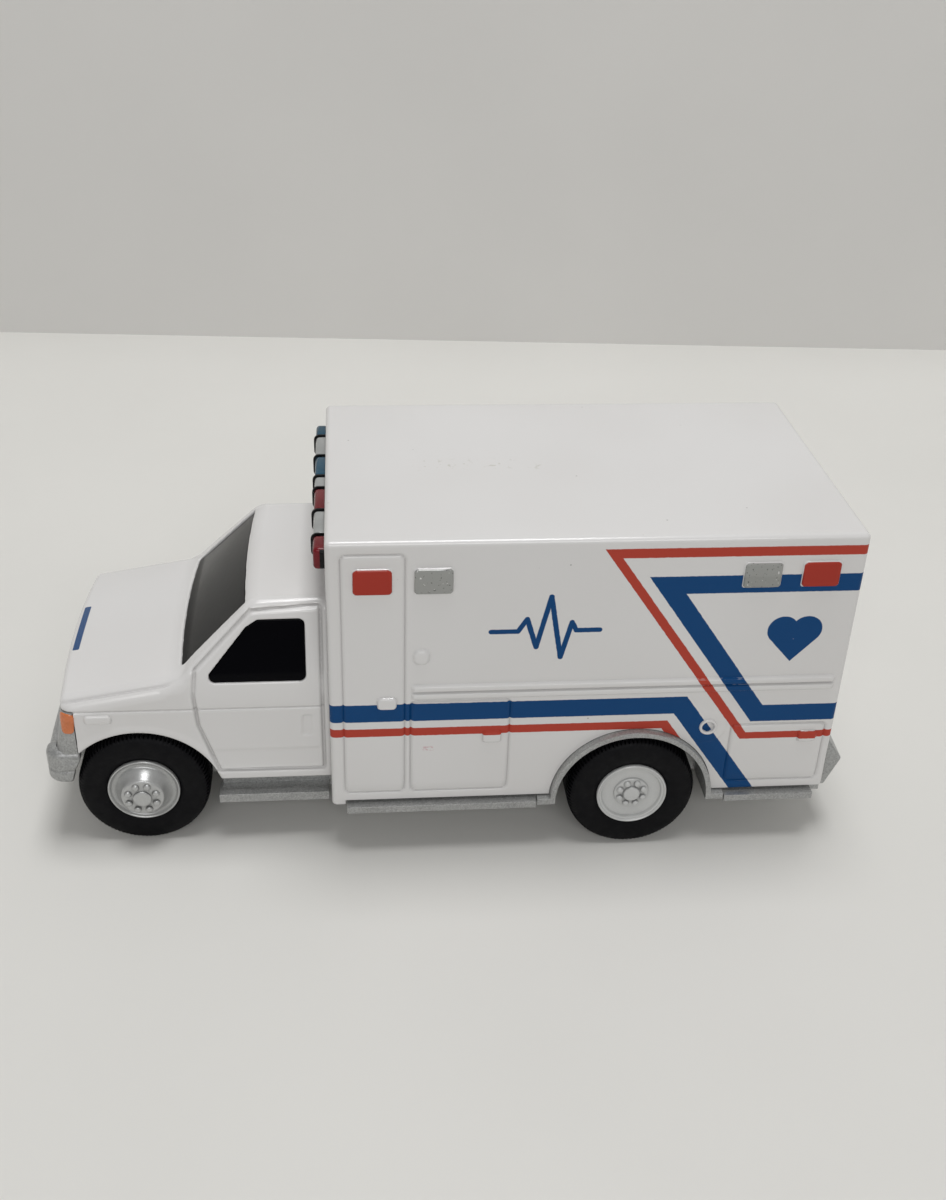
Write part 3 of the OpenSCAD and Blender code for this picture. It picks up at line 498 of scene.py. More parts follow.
def stroke_term(u, v, a, b):
    """Distance from the segment between two points, as a term."""
    eu, ev = b[0] - a[0], b[1] - a[1]
    square = eu * eu + ev * ev
    wu, wv = u - a[0], v - a[1]
    t = (wu * (eu / square) + wv * (ev / square)).most(0.0).least(1.0)
    return length(wu - t * eu, wv - t * ev)


def between(value, low, high):
    """How far a value lies inside a range, as a term."""
    return (value - low).least(high - value)


# Places of the moulded relief and of the print on the body box

LAMP_Z = BOX_TOP - 5.4
LAMP_SIZE = (5.0, 3.7)
LAMP_SET = (BOX_REAR - BOX_FRONT) / 2 - 5.7
LAMP_PITCH = 7.5
LAMP_R = 0.7
LAMP_TOP = BOSS_H - 0.02
RED_PAINT = (4.9, 3.55)
GREY_PAINT = (4.95, 3.6)
LAMP_PAIR = (13.4, 4.4)
REAR_LAMP_Y = BOX_HW - 4.6
RAIL_Z = 25.7
RAIL_H = 2.0
DOOR_FOOT = 9.6
ENTRY = ((BOX_FRONT + 1.8, DOOR_FOOT), (BOX_FRONT + 9.7, BOX_TOP - 1.75))
LOCKER = ((BOX_FRONT + 10.5, DOOR_FOOT), (BOX_FRONT + 23.45, 24.2))
REAR_LOCKER = ((BOX_REAR - 14.1, DOOR_FOOT), (BOX_REAR - 1.2, 19.0))
SIDE_PANELS = [ENTRY, LOCKER, REAR_LOCKER]
PANEL_LINE = (0.26, 0.28)
PANEL_R = 0.7
PANEL_RISE = 0.04
SIDE_LAMPS = [BOX_MID + s * (LAMP_SET - i * LAMP_PITCH) for s in (-1, 1) for i in (0, 1)]
SIDE_HANDLES = [(ENTRY[1][0] - 2.3, RAIL_Z - 1.6), (LOCKER[1][0] - 2.3, RAIL_Z - 7.3),
                (REAR_LOCKER[1][0] - 2.4, 17.0)]
HANDLE_SIZE = (2.6, 1.8)
HANDLE_R = 0.6
HANDLE_TOP = 0.42
KNOB = (LOCKER[0][0] + 1.3, RAIL_Z + 5.4)
KNOB_SIZE = (2.1, 2.3)
FILLER = (REAR_AXLE_X + 9.6, 19.0)
# The filler's plate, and its ring outside and inside
FILLER_R = (2.6, 1.2, 0.82)
FILLER_RISE = 0.1
FILLER_DEPTH = 0.35
RAIL = (LOCKER[0][0], BOX_REAR - 1.2)
RAIL_END = 0.4
RIDGE_Z = (RAIL_Z - 0.57, RAIL_Z + 0.57)
RIDGE_HALF = 0.5
RIDGE_H = 0.4
REAR_DOOR = ((0.12, 15.4), (13.5, 41.35))
REAR_WINDOW = ((3.2, 28.6), (11.2, 38.4))
WINDOW_BEAD = (0.14, 0.5)
WINDOW_DEPTH = 0.32
REAR_HANDLE = (2.3, RAIL_Z)
REAR_HANDLE_SIZE = (1.4, 4.0)
# Each boss: middle, size, corner radius, height and width of its rounded rim
SIDE_BOSSES = [((x, LAMP_Z), LAMP_SIZE, LAMP_R, LAMP_TOP, 0.35) for x in SIDE_LAMPS]
SIDE_BOSSES += [(middle, HANDLE_SIZE, HANDLE_R, HANDLE_TOP, 0.3) for middle in SIDE_HANDLES]
SIDE_BOSSES += [(KNOB, KNOB_SIZE, 1.0, 0.4, 0.5)]
REAR_BOSSES = [((REAR_LAMP_Y, LAMP_Z), LAMP_SIZE, LAMP_R, LAMP_TOP, 0.35),
               (REAR_HANDLE, REAR_HANDLE_SIZE, HANDLE_R, HANDLE_TOP, 0.35)]
STRIPE_LEAN = 0.70
BLUE_WAIST = dict(low=21.2, high=23.9, start=43.8, end=47.2, foot=5.0)
RED_WAIST = dict(low=18.85, high=20.1, start=40.7, end=42.27, foot=14.0)
RED_CHEVRON = dict(start=50.13, end=51.55, top=(44.85, 46.17), bottom=(16.72, 17.82))
BLUE_CHEVRON = dict(start=53.2, end=56.35, top=(39.6, 42.15), bottom=(19.55, 22.2))
HEART = (43.4, 32.7)
HEART_LOBE = (1.55, 1.2)
HEART_LOBE_R = 2.05
HEART_TIP = 3.6
HEART_WAIST = 0.18
HEART_SIDE = (0.744, 0.668)
PULSE = [(4.2, 34.6), (7.6, 34.6), (8.7, 36.4), (10.0, 32.2), (11.6, 39.6), (13.2, 30.6), (14.4, 35.8),
         (15.0, 34.6), (18.0, 34.6)]
PULSE_W = 0.34
RAGGED = 0.09
HOOD_BAR = ((-0.7, CAB_FRONT + 0.1), (11.2, 0.9), 0.2)
HOOD_BAR_Z = (22.2, 22.4)


# Materials

WHITE = (0.74, 0.732, 0.727)
WHITE_SHADE = (0.71, 0.699, 0.69)
SPECK = (0.2, 0.19, 0.18)
# Colour of the painted shade laid into the seams and hollows of the white plastic
SEAM_SHADE = (0.3, 0.29, 0.29)
SMEAR = (0.6, 0.36, 0.4)
SCUFF = (0.5, 0.49, 0.42)
RED = (0.46, 0.06, 0.039)
BLUE = (0.006, 0.06, 0.19)
LAMP_RED = (0.39, 0.043, 0.029)
LAMP_GREY = (0.32, 0.325, 0.31)
GREY_SPECK = (0.05, 0.05, 0.05)
SILVER_TINT = (1.0, 1.01, 1.0)
ORANGE = (0.68, 0.19, 0.055)
RUBBER = (0.002, 0.002, 0.003)
RUBBER_DUST = (0.007, 0.007, 0.008)
# How far the painted shade darkens the seams of the body box and of the cab
BOX_SEAM_SHADE = 0.32
CAB_SEAM_SHADE = 0.5
WHITE_COAT = 0.25
PLAIN_SPECULAR = 0.5
INK_SPECULAR = 0.12


def shaded(colour, share):
    return tuple(c * share for c in colour)


def moulded_white(name, seam_shade):
    """White plastic: faint clouds, dust specks, painted shade in the seams, an uneven gloss and a moulded
    skin.
    """
    finish = Finish(name, IOR=PLASTIC_IOR, Coat_Weight=WHITE_COAT, Coat_Roughness=0.12)
    finish.tone = finish.mix(finish.noise(26, 1).rise(0.3, 0.75), WHITE, WHITE_SHADE)
    rare = finish.noise(5.2, 0).rise(0.52, 0.6)
    finish.cover(finish.cells(3.2, "Distance").fall(0.02, 0.05) * rare * 0.55, SPECK)
    # Painted shade: seams and hollows are darkened by how closed in they are
    finish.cover(finish.crevice(0.7).rise(0.5, 0.97, seam_shade, 0.0), SEAM_SHADE)
    finish.link(finish.noise(6, 4, (1, 1, 0.4)).rise(0.3, 0.75, 0.17, 0.24), "Roughness")
    finish.bump(finish.noise(1.1, 2), 0.003)
    return finish


def heart_field(x, z):
    """How far a point lies inside the heart: two round lobes over a point."""
    fold = (x - HEART[0]).absolute()
    lobes = HEART_LOBE_R - length(fold - HEART_LOBE[0], z - (HEART[1] + HEART_LOBE[1]))
    point = (z - (HEART[1] - HEART_TIP)) * HEART_SIDE[1] - fold * HEART_SIDE[0]
    return lobes.most(point.least(HEART[1] - HEART_WAIST - z))


def print_fields(x, z):
    """How far a point lies inside the red and the blue print."""
    along = x + z * STRIPE_LEAN

    def waist(band):
        level = between(z, band["low"], band["high"]).least(band["end"] - along)
        slope = between(along, band["start"], band["end"]).least(between(z, band["foot"], band["high"]))
        return level.most(slope)

    def chevron(band):
        top, bottom = (between(z, *band[key]).least(along - band["start"]) for key in ("top", "bottom"))
        slope = between(along, band["start"], band["end"])
        slope = slope.least(between(z, band["bottom"][0], band["top"][1]))
        return top.most(bottom).most(slope)

    red = waist(RED_WAIST).most(chevron(RED_CHEVRON))
    blue = waist(BLUE_WAIST).most(chevron(BLUE_CHEVRON)).most(heart_field(x, z))
    pulse = reduce(Term.least, [stroke_term(x, z, a, b) for a, b in zip(PULSE, PULSE[1:])])
    return red, blue.most(PULSE_W - pulse)


def box_material():
    """White plastic with printed stripes, painted lamps and a plain heart and pulse line."""
    finish = moulded_white("box_white_plastic", BOX_SEAM_SHADE)
    x, z = finish.x, finish.z
    y = finish.y.absolute()
    ragged = (finish.noise(0.5, 3) - 0.5) * RAGGED
    red, blue = print_fields(x + ragged, z + ragged)
    # The print is paler in noisy patches on the steep flanks of the rub rail and in the groove between its
    # ridges
    level = (z - RAIL_Z).absolute()
    rail = (level - RAIL_H / 2).absolute().rise(0.03, 0.12) * level.rise(0.03, 0.1)
    skip = rail.most(finish.noise(0.8, 2).rise(0.44, 0.52, 0.8, 1.0))
    handle = rect_term(x, z, SIDE_HANDLES[0], HANDLE_SIZE, HANDLE_R)
    ink = y.rise(BOX_HW - 0.75, BOX_HW - 0.6) * skip * handle.rise(-0.1, 0.0)
    finish.cover(red.above() * ink, RED)
    finish.cover(blue.above() * ink, BLUE)
    # Lamp faces stand out of the side, so the paint stays on their tops
    proud = y.rise(BOX_HW + 0.14, BOX_HW + 0.24)
    fold = (x - BOX_MID).absolute()
    pair = rect_term(fold, z, (LAMP_SET - LAMP_PITCH / 2, LAMP_Z), LAMP_PAIR, LAMP_R)
    finish.cover(pair.fall(-0.1, 0.1) * y.rise(BOX_HW + 0.02, BOX_HW + 0.08), WHITE)
    red_lamp = rect_term(fold, z, (LAMP_SET, LAMP_Z), RED_PAINT, LAMP_R).below() * proud
    finish.cover(red_lamp, LAMP_RED)
    grey_lamp = rect_term(fold, z, (LAMP_SET - LAMP_PITCH, LAMP_Z), GREY_PAINT, LAMP_R).below() * proud
    grey = finish.mix(finish.noise(0.35, 5).rise(0.62, 0.68) * 0.8, LAMP_GREY, GREY_SPECK)
    finish.cover(grey_lamp * finish.noise(0.45, 4).rise(0.3, 0.34), grey)
    rear_lamp = rect_term(y, z, (REAR_LAMP_Y, LAMP_Z), RED_PAINT, LAMP_R).below()
    finish.cover(rear_lamp * x.rise(BOX_REAR + 0.18, BOX_REAR + 0.3), LAMP_RED)
    # A small smear on the locker door and scuffs on the roof
    smear = rect_term(x + z * 0.2, z, (-0.2, 16.7), (1.3, 0.5), 0.2).fall(-0.1, 0.25)
    smear = smear * finish.noise(0.4, 3).rise(0.4, 0.55) * (finish.y * -1.0).rise(20, 21)
    finish.cover(smear * 0.7, SMEAR)
    scuff = rect_term(x, finish.y, (4.0, 0.2), (17, 2.2), 1).fall(-0.6, 1.2)
    scuff = scuff * finish.noise(0.8, 4).rise(0.6, 0.68) * z.rise(BOX_TOP - 0.05, BOX_TOP - 0.01)
    finish.cover(scuff * 0.5, SCUFF)
    inked = (red.most(blue).above() * ink).most(red_lamp)
    finish.link(inked.rise(0.0, 1.0, PLAIN_SPECULAR, INK_SPECULAR), "Specular IOR Level")
    finish.link(inked.rise(0.0, 1.0, WHITE_COAT, 0.0), "Coat Weight")
    return finish.made()


def cab_material():
    """White plastic with a plain bar printed on the hood."""
    finish = moulded_white("cab_white_plastic", CAB_SEAM_SHADE)
    bar = rect_term(finish.y, finish.x, *HOOD_BAR)
    finish.cover(bar.below() * finish.z.rise(*HOOD_BAR_Z), BLUE)
    return finish.made()


def silver_material(name, dark, light, metal, rough, grain, relief, seam_shade=0.0):
    """Silver plastic: small metallic flakes at all tones under a satin skin, with painted shade in its
    seams.
    """
    finish = Finish(name, IOR=PLASTIC_IOR, Metallic=metal)
    flake = finish.cells(grain, "Color")
    pick = flake * 0.85 + finish.cloud(3.5, 3) * 0.15
    finish.tone = finish.mix(pick, shaded(SILVER_TINT, dark), shaded(SILVER_TINT, light))
    # Painted shade: hollows are darkened by how closed in they are
    if seam_shade:
        finish.cover(finish.crevice(0.9).rise(0.45, 0.95, seam_shade, 0.0), (dark * 0.2, dark * 0.2, dark * 0.2))
    finish.link(finish.cloud(0.5, 3, *rough), "Roughness")
    finish.bump(flake, relief)
    return finish.made()


def gloss_material(name, colour, rough=(0.08, 0.2), grain=4.0, shade=0.7, coat=0.4, specular=0.5):
    """Glossy plastic or paint with slight clouds in its tone and its gloss."""
    finish = Finish(name, IOR=PLASTIC_IOR, Specular_IOR_Level=specular, Coat_Weight=coat,
                    Coat_Roughness=0.06)
    finish.tone = finish.mix(finish.cloud(grain, 3), colour, shaded(colour, shade))
    finish.link(finish.noise(grain / 3, 4).rise(0.3, 0.75, *rough), "Roughness")
    finish.bump(finish.noise(0.9, 2), 0.008)
    return finish.made()


def tyre_material():
    """Matte black rubber with a little dust in its grain."""
    finish = Finish("tyre_rubber_black", IOR=PLASTIC_IOR, Specular_IOR_Level=0.14)
    finish.tone = finish.mix(finish.noise(0.6, 5).rise(0.5, 0.75) * 0.5, RUBBER, RUBBER_DUST)
    finish.link(finish.cloud(1.4, 3, 0.46, 0.64), "Roughness")
    finish.bump(finish.noise(0.25, 3), 0.02)
    return finish.made()


def steel_material(name, colour, rough=(0.22, 0.38)):
    """Drawn or plated steel with fine marks round its axis."""
    finish = Finish(name, Metallic=1.0)
    lines = finish.noise(0.6, 4, (1, 12, 1))
    finish.tone = finish.mix(lines.rise(NOISE_LOW, NOISE_HIGH), colour, shaded(colour, 0.75))
    finish.link(lines.rise(NOISE_LOW, NOISE_HIGH, *rough), "Roughness")
    finish.bump(lines, 0.01)
    return finish.made()


def stage_material(name, colour):
    """A pale matte surface that is clear from behind, so that it hides no side of the toy."""
    finish = Finish(name, Specular_IOR_Level=0.2)
    finish.tone = finish.mix(finish.cloud(60, 3), colour, shaded(colour, 0.975))
    finish.link(finish.cloud(2, 2, 0.7, 0.8), "Roughness")
    clear = finish.add("BsdfTransparent", {}).outputs[0]
    behind = finish.add("NewGeometry", {}).outputs["Backfacing"]
    pick = finish.add("MixShader", {0: behind, 1: finish.shader.outputs[0], 2: clear})
    feed(finish.tree, finish.tree.nodes["Material Output"].inputs["Surface"], pick.outputs[0])
    return finish.made()


GLASS = dict(grain=12.0, shade=0.9, coat=0)
MATERIALS = dict(
    box=box_material(),
    cab=cab_material(),
    silver=silver_material("silver_plastic_flake", 0.27, 0.5, 0.55, (0.34, 0.44), 0.17, 0.009),
    # The rims' last number sets the painted shade in their hollows round the nuts
    front_rim=silver_material("rim_silver_paint", 0.46, 0.56, 0.55, (0.3, 0.36), 0.1, 0.001, 0.75),
    rear_rim=silver_material("rim_pale_silver_paint", 0.56, 0.62, 0.2, (0.28, 0.36), 0.1, 0.001, 0.6),
    screen=gloss_material("windscreen_dark_gloss", (0.01, 0.01, 0.01), (0.13, 0.17), specular=0.13, **GLASS),
    window=gloss_material("window_black_gloss", (0.002, 0.002, 0.003), (0.09, 0.12), specular=0.05, **GLASS),
    black=gloss_material("bar_black_plastic", (0.006, 0.006, 0.007), (0.25, 0.4), coat=0, specular=0.2),
    red_lamp=gloss_material("lamp_red_gloss", (0.175, 0.008, 0.014), coat=0, specular=0.3),
    clear_lamp=gloss_material("lamp_clear_gloss", (0.36, 0.37, 0.365), shade=0.8, coat=0.2),
    blue_lamp=gloss_material("lamp_blue_gloss", (0.01, 0.072, 0.125), coat=0, specular=0.3),
    orange=gloss_material("marker_orange_paint", ORANGE, (0.2, 0.32), 1.2, 0.82),
    tyre=tyre_material(),
    steel=steel_material("axle_steel", (0.52, 0.53, 0.55)),
    screw=steel_material("screw_zinc", (0.4, 0.41, 0.43), (0.28, 0.42)),
    floor=stage_material("stage_floor", (0.76, 0.752, 0.722)),
    wall=stage_material("stage_wall", (0.74, 0.73, 0.71)),
)


# Body box: a rounded box whose sides carry the moulded relief

GRID_STEP = 1.6
GRID_REACH = 0.42
GRID_FINE = 5
GRID_LEAST = 0.06
GRID_SPARE = 0.001
BOX_WALL = 1.6
LEG_W = 1.9
LEG_L = 1.8
# Height and radius of the rear wheel arches
ARCH_CUT = (7.7, 11.2)


def middle_size(corners):
    """Middle and size of a rectangle that is given by two corners."""
    (u0, v0), (u1, v1) = corners
    return ((u0 + u1) / 2, (v0 + v1) / 2), (u1 - u0, v1 - v0)


def panel_line(u, v, panel):
    """A groove round a panel that stands a little proud."""
    d = rect_field(u, v, *middle_size(panel), PANEL_R)
    return PANEL_RISE * ramp(-d, 0.1, 0.6) - line_field(d, PANEL_LINE)


def add_bosses(h, u, v, bosses):
    """Lifts the relief to the top of each boss inside its outline."""
    for middle, size, r, top, edge in bosses:
        share = raised(rect_field(u, v, middle, size, r), edge)
        h = h * (1 - share) + top * share
    return h


def side_relief(x, z):
    """How far the side stands out at each point."""
    h = sum(panel_line(x, z, panel) for panel in SIDE_PANELS)
    h = add_bosses(h, x, z, SIDE_BOSSES)
    within = ramp(x, RAIL[0], RAIL[0] + RAIL_END) * ramp(-x, -RAIL[1], RAIL_END - RAIL[1])
    for ridge in RIDGE_Z:
        t = np.clip(np.abs(z - ridge) / RIDGE_HALF, 0, 1)
        h = h + RIDGE_H * np.sqrt(1 - t ** 2.5) * within
    d = np.hypot(x - FILLER[0], z - FILLER[1])
    h = h + FILLER_RISE * raised(d - FILLER_R[0], 0.25)
    return h - FILLER_DEPTH * raised(d - FILLER_R[2], 0.2)


def rear_relief(y, z):
    """How far the rear face stands out. The two doors are alike."""
    y = np.abs(y)
    d = rect_field(y, z, *middle_size(REAR_WINDOW), 1.2)
    h = panel_line(y, z, REAR_DOOR) + line_field(d - 0.3, WINDOW_BEAD) - WINDOW_DEPTH * ramp(-d, 0.0, 0.3)
    return add_bosses(h, y, z, REAR_BOSSES)


def grid_lines(low, high, edges):
    """Grid lines over a range, closer together round the given edges."""
    lines = [np.linspace(low, high, int((high - low) / GRID_STEP) + 1)]
    for edge in edges:
        lines.append(np.linspace(edge - GRID_REACH, edge + GRID_REACH, GRID_FINE))
    lines = np.unique(np.concatenate(lines).round(3))
    lines = lines[(lines > low - GRID_SPARE) & (lines < high + GRID_SPARE)]
    keep = [low]
    for line in lines:
        if line - keep[-1] > GRID_LEAST and high - line > GRID_LEAST:
            keep.append(line)
    return np.array(keep + [high])


def rect_edges(rects, axis):
    """Both edges of each rectangle, which starts with its middle and its size."""
    return [rect[0][axis] + sign * rect[1][axis] / 2 for rect in rects for sign in (-1, 1)]


def box_lines():
    """Grid lines of the body along X, Y and Z, gathered from its relief."""
    sides = SIDE_BOSSES + [(FILLER, (2 * r, 2 * r)) for r in FILLER_R]
    points = [*SIDE_HANDLES, KNOB, FILLER] + [corner for panel in SIDE_PANELS for corner in panel]
    rear = [*REAR_DOOR, *REAR_WINDOW]
    ex = rect_edges(sides, 0) + [p[0] for p in points] + list(RAIL)
    ez = rect_edges(sides + REAR_BOSSES, 1) + [p[1] for p in points + rear]
    ez += [RAIL_Z + 0.25 * i for i in range(-5, 6)]
    half = rect_edges(REAR_BOSSES, 0) + [p[0] for p in rear]
    xs = grid_lines(BOX_FRONT + EDGE_R, BOX_REAR - EDGE_R, ex)
    ys = grid_lines(EDGE_R - BOX_HW, BOX_HW - EDGE_R, [sign * y for sign in (-1, 1) for y in half])
    zs = grid_lines(BOX_FOOT + FOOT_R, BOX_TOP - EDGE_R, ez)
    return xs, ys, zs


def box_outer():
    """The body's outer skin: rings round the four walls, with a flat roof and floor."""
    xs, ys, zs = box_lines()
    x0, x1 = BOX_FRONT + EDGE_R, BOX_REAR - EDGE_R
    half = BOX_HW - EDGE_R
    corners = [((x1, -half), -90), ((x1, half), 0), ((x0, half), 90), ((x0, -half), 180)]
    walls = [[(x, -half) for x in xs], [(x1, y) for y in ys], [(x, half) for x in xs[::-1]],
             [(x0, y) for y in ys[::-1]]]
    steps = np.radians(np.linspace(0, 90, 9))
    plan = []
    for side, (wall, (corner, turn)) in enumerate(zip(walls, corners)):
        facing = math.radians(turn)
        plan += [(*point, math.cos(facing), math.sin(facing), side) for point in wall]
        plan += [(*corner, math.cos(facing + a), math.sin(facing + a), -1) for a in steps[1:-1]]
    plan = np.array(plan)
    levels = [(1 - FOOT_R * (1 - math.sin(a)) / EDGE_R, BOX_FOOT + FOOT_R * (1 - math.cos(a)))
              for a in steps[:-1]]
    levels += [(1.0, z) for z in zs]
    levels += [(math.cos(a), BOX_TOP - EDGE_R + EDGE_R * math.sin(a)) for a in steps[1:]]
    reach, z = (np.array(column)[:, None] for column in zip(*levels))
    reach = reach * EDGE_R
    x = plan[:, 0] + plan[:, 2] * reach
    y = plan[:, 1] + plan[:, 3] * reach
    z = z + 0 * x
    long_side = (plan[:, 4] == 0) | (plan[:, 4] == 2)
    rear_side = plan[:, 4] == 1
    fade = ((z > BOX_FOOT + 1.2) & (z < BOX_TOP - EDGE_R)).astype(float)
    y = y + np.where(long_side, side_relief(x, z) * fade, 0) * np.sign(plan[:, 3])
    x = x + np.where(rear_side, rear_relief(y, z) * fade, 0)
    gx, gy = np.meshgrid(xs, ys, indexing="ij")
    skin = np.stack([x, y, z], -1).reshape(-1, 3), grid_faces(len(levels), len(plan), wrap=True)
    roof = np.stack([gx, gy, np.full_like(gx, BOX_TOP)], -1).reshape(-1, 3), grid_faces(len(xs), len(ys))
    points, faces = merged(skin, roof)
    return points, faces + [list(range(len(plan)))[::-1]]


def arch_cutter(segments=128):
    """A cylinder along Y that cuts the rear wheel arches."""
    z, r = ARCH_CUT
    half = BOX_HW + 5
    points, faces = lathe([(r, -half), (r, half)], segments, close=False)
    ring = list(range(segments))
    faces = faces + [ring, [segments + i for i in ring]]
    return new_object("arch", points + np.array([REAR_AXLE_X, 0, z]), faces, "box")


def box_cutters():
    """The hollow, the space under the floor behind and between the front legs, and the wheel arches."""
    inner = BOX_HW - BOX_WALL
    legs = BOX_HW - LEG_W
    blocks = dict(
        hollow=((BOX_FRONT + BOX_WALL, -inner, 2), (BOX_REAR - BOX_WALL, inner, BOX_TOP - BOX_WALL), 0.5, 4),
        behind_legs=((BOX_FRONT + LEG_L, -BOX_HW - 2, 2), (BOX_REAR + 4, BOX_HW + 2, BOX_BOTTOM), 0.02, 1),
        between_legs=((BOX_FRONT - 3, -legs, 2), (BOX_FRONT + 6, legs, BOX_BOTTOM), 0.02, 1))
    cutters = []
    for name, (low, high, r, segments) in blocks.items():
        cutters.append(block_object(name, low, high, r, "box", segments))
    return cutters + [arch_cutter()]


def make_box():
    box = new_object("body_box", *box_outer(), "box")
    cut_away(box, *box_cutters())
    finish_mesh(box.data, 42)
    place(box, "body", "white_plastic", "box_shell")


def make_filler():
    """A raised ring round the filler on each side."""
    top = BOSS_H - 0.04
    foot = -0.6
    _, outer, inner = FILLER_R
    edge = (outer - inner) * 0.4
    cut = edge * 0.3
    section = [(inner, foot), (inner, top - edge), (inner + cut, top - cut), (inner + edge, top),
               (outer - edge, top), (outer - cut, top - cut), (outer, top - edge), (outer, foot)]
    points, faces = lathe(section, 40)
    rings = []
    for sign in (-1, 1):
        at = np.array([FILLER[0], sign * BOX_HW, FILLER[1]])
        rings.append((points * np.array([1, sign, 1]) + at, faces))
    filler = new_object("filler_rings", *merged(*rings), "cab", 50)
    place(filler, "body", "white_plastic")


# Cab

COWL_X = CAB_FRONT + 14.6
ROOF_FRONT_X = COWL_X + 10.1
ROOF_Z = ROOF_TOP - 0.7
HOOD_FRONT_Z = 22.9
HOOD_REAR_Z = 25.4
HOOD_HW = 16.1
ROOF_HW = 14.3
LEAN_Z = 24.5
BELT_Z = 21.3
CAB_BOTTOM = 9.8
CAB_WALL = 1.5
GRILLE_LOW = 13.1
GRILLE_TOP = HOOD_FRONT_Z - 1.6
GRILLE_T = 1.3
GRILLE_BACK_X = CAB_FRONT + 1.2
ARCH = (FRONT_AXLE_X - 0.25, 6.95)
ARCH_R = 10.9
ARCH_IN = -TYRE_HIGH[1] - 0.45
HOOD_SLOPE = math.atan2(HOOD_REAR_Z - HOOD_FRONT_Z, COWL_X - CAB_FRONT)
SCREEN_SLOPE = math.atan2(ROOF_Z - HOOD_REAR_Z, ROOF_FRONT_X - COWL_X)
SCREEN_L = math.hypot(ROOF_Z - HOOD_REAR_Z, ROOF_FRONT_X - COWL_X)
SCREEN_WAY = (0.75, SCREEN_L - 1.2)
SCREEN_TAPER = 1.3
GLASS_DEEP = 0.42
GLASS_SET = 0.16
DOOR_REAR = BOX_FRONT - 1.2
DOOR = [(DOOR_REAR, ROOF_Z - 1.0), (ROOF_FRONT_X - 0.1, ROOF_Z - 1.4), (COWL_X + 2.8, LEAN_Z + 2.2),
        (COWL_X + 2.45, LEAN_Z - 1.1), (COWL_X + 2.8, BELT_Z - 2.5), (COWL_X + 5.1, CAB_BOTTOM + 1.8),
        (DOOR_REAR, CAB_BOTTOM + 1.7)]
WINDOW_R = 0.9
WINDOW = [(COWL_X + 5.15, 26.0), (BOX_FRONT - 3.8, 26.0), (BOX_FRONT - 3.8, 32.4),
          (ROOF_FRONT_X + 0.9, 32.35), (ROOF_FRONT_X - 0.3, 31.6)]
# Depth and half width of the cab's moulded lines
DOOR_LINE = (0.42, 0.4)
DOOR_FRAME = (0.1, 0.55)
BELT_LINE = (0.2, 0.26)
HOOD_LINE = (0.32, 0.36)
ARCH_FLARE = (0.16, 0.9)
DOOR_STEP = 0.12
RECESS_DEPTH = 0.16
STRIP_H = 0.3
HANDLE_RECESS = ((BOX_FRONT - 3.0, 18.4), (1.7, 3.6), 0.5)
FENDER_STRIP = ((CAB_FRONT + 4.3, 20.2), (3.5, 1.35), 0.5)
# Room that a net leaves round its form
ROOM = 0.6


def bow_radius(half_chord, rise):
    return (half_chord ** 2 + rise ** 2) / (2 * rise)


NOSE_BOW_R = bow_radius(HOOD_HW, 0.6)
HOOD_CROWN = 0.9
HOOD_CROWN_R = bow_radius(HOOD_HW, HOOD_CROWN)
ROOF_CROWN_R = bow_radius(ROOF_HW, ROOF_TOP - ROOF_Z)
SCREEN_BOW = 0.65
SCREEN_BOW_R = bow_radius(ROOF_HW, SCREEN_BOW)


def plan_field(x, y):
    """The cab seen from above: straight sides and a bowed nose with rounded corners."""
    bow = np.hypot(x - NOSE_X - NOSE_BOW_R, y) - NOSE_BOW_R
    return round_max(y - CAB_HW, bow, 1.5)


def screen_height(x, z):
    """Height above the windscreen's lower plane, and the way up along it."""
    c, s = math.cos(SCREEN_SLOPE), math.sin(SCREEN_SLOPE)
    dx, dz = x - COWL_X, z - HOOD_REAR_Z
    return dz * c - dx * s, dx * c + dz * s


def hood_field(x, y, z):
    """A crowned hood with sloping shoulders."""
    c, s = math.cos(HOOD_SLOPE), math.sin(HOOD_SLOPE)
    up = (z - HOOD_FRONT_Z) * c - (x - CAB_FRONT) * s
    crown = np.hypot(y, up - HOOD_CROWN + HOOD_CROWN_R) - HOOD_CROWN_R
    shoulder = (up + 0.75 * (y - HOOD_HW)) / 1.25
    return round_max(crown, shoulder, 0.45)


def cabin_field(x, y, z):
    """The cabin: leaning sides under a crowned roof and a bowed windscreen."""
    lean = (CAB_HW - ROOF_HW) / (ROOF_Z - LEAN_Z)
    side = (y - CAB_HW + lean * (z - LEAN_Z)) / math.hypot(1, lean)
    roof = np.hypot(y, z - ROOF_TOP + ROOF_CROWN_R) - ROOF_CROWN_R
    up, _ = screen_height(x, z)
    screen = np.hypot(y, up - SCREEN_BOW + SCREEN_BOW_R) - SCREEN_BOW_R
    return rounded(roof, (side, 1.3), (screen, 0.7))


def cab_form(x, y, z):
    """The cab's plain outer form, without its moulded details."""
    overlap = 1.2
    hood = np.maximum(hood_field(x, y, z), x - COWL_X - overlap)
    cabin = np.maximum(cabin_field(x, y, z), COWL_X - overlap - x)
    return round_max(round_min(hood, cabin, 0.9), plan_field(x, y), 0.8)


def screen_outline(x, y, z):
    """Distance from the windscreen's outline, measured on the glass."""
    _, way = screen_height(x, z)
    low, high = SCREEN_WAY
    half = ROOF_HW - (way - low) / (high - low) * SCREEN_TAPER
    across = (y - half) / math.hypot(1, SCREEN_TAPER / (high - low))
    return round_max(np.maximum(across, way - high), low - way, 0.5)


def glass_outlines(x, y, z):
    """Distances from the outline of the door window and of the windscreen."""
    side = np.maximum(polygon_field(x, z, WINDOW) - WINDOW_R, 11 - y)
    screen = np.maximum(screen_outline(x, y, z), -2.5 - screen_height(x, z)[0])
    return side, screen


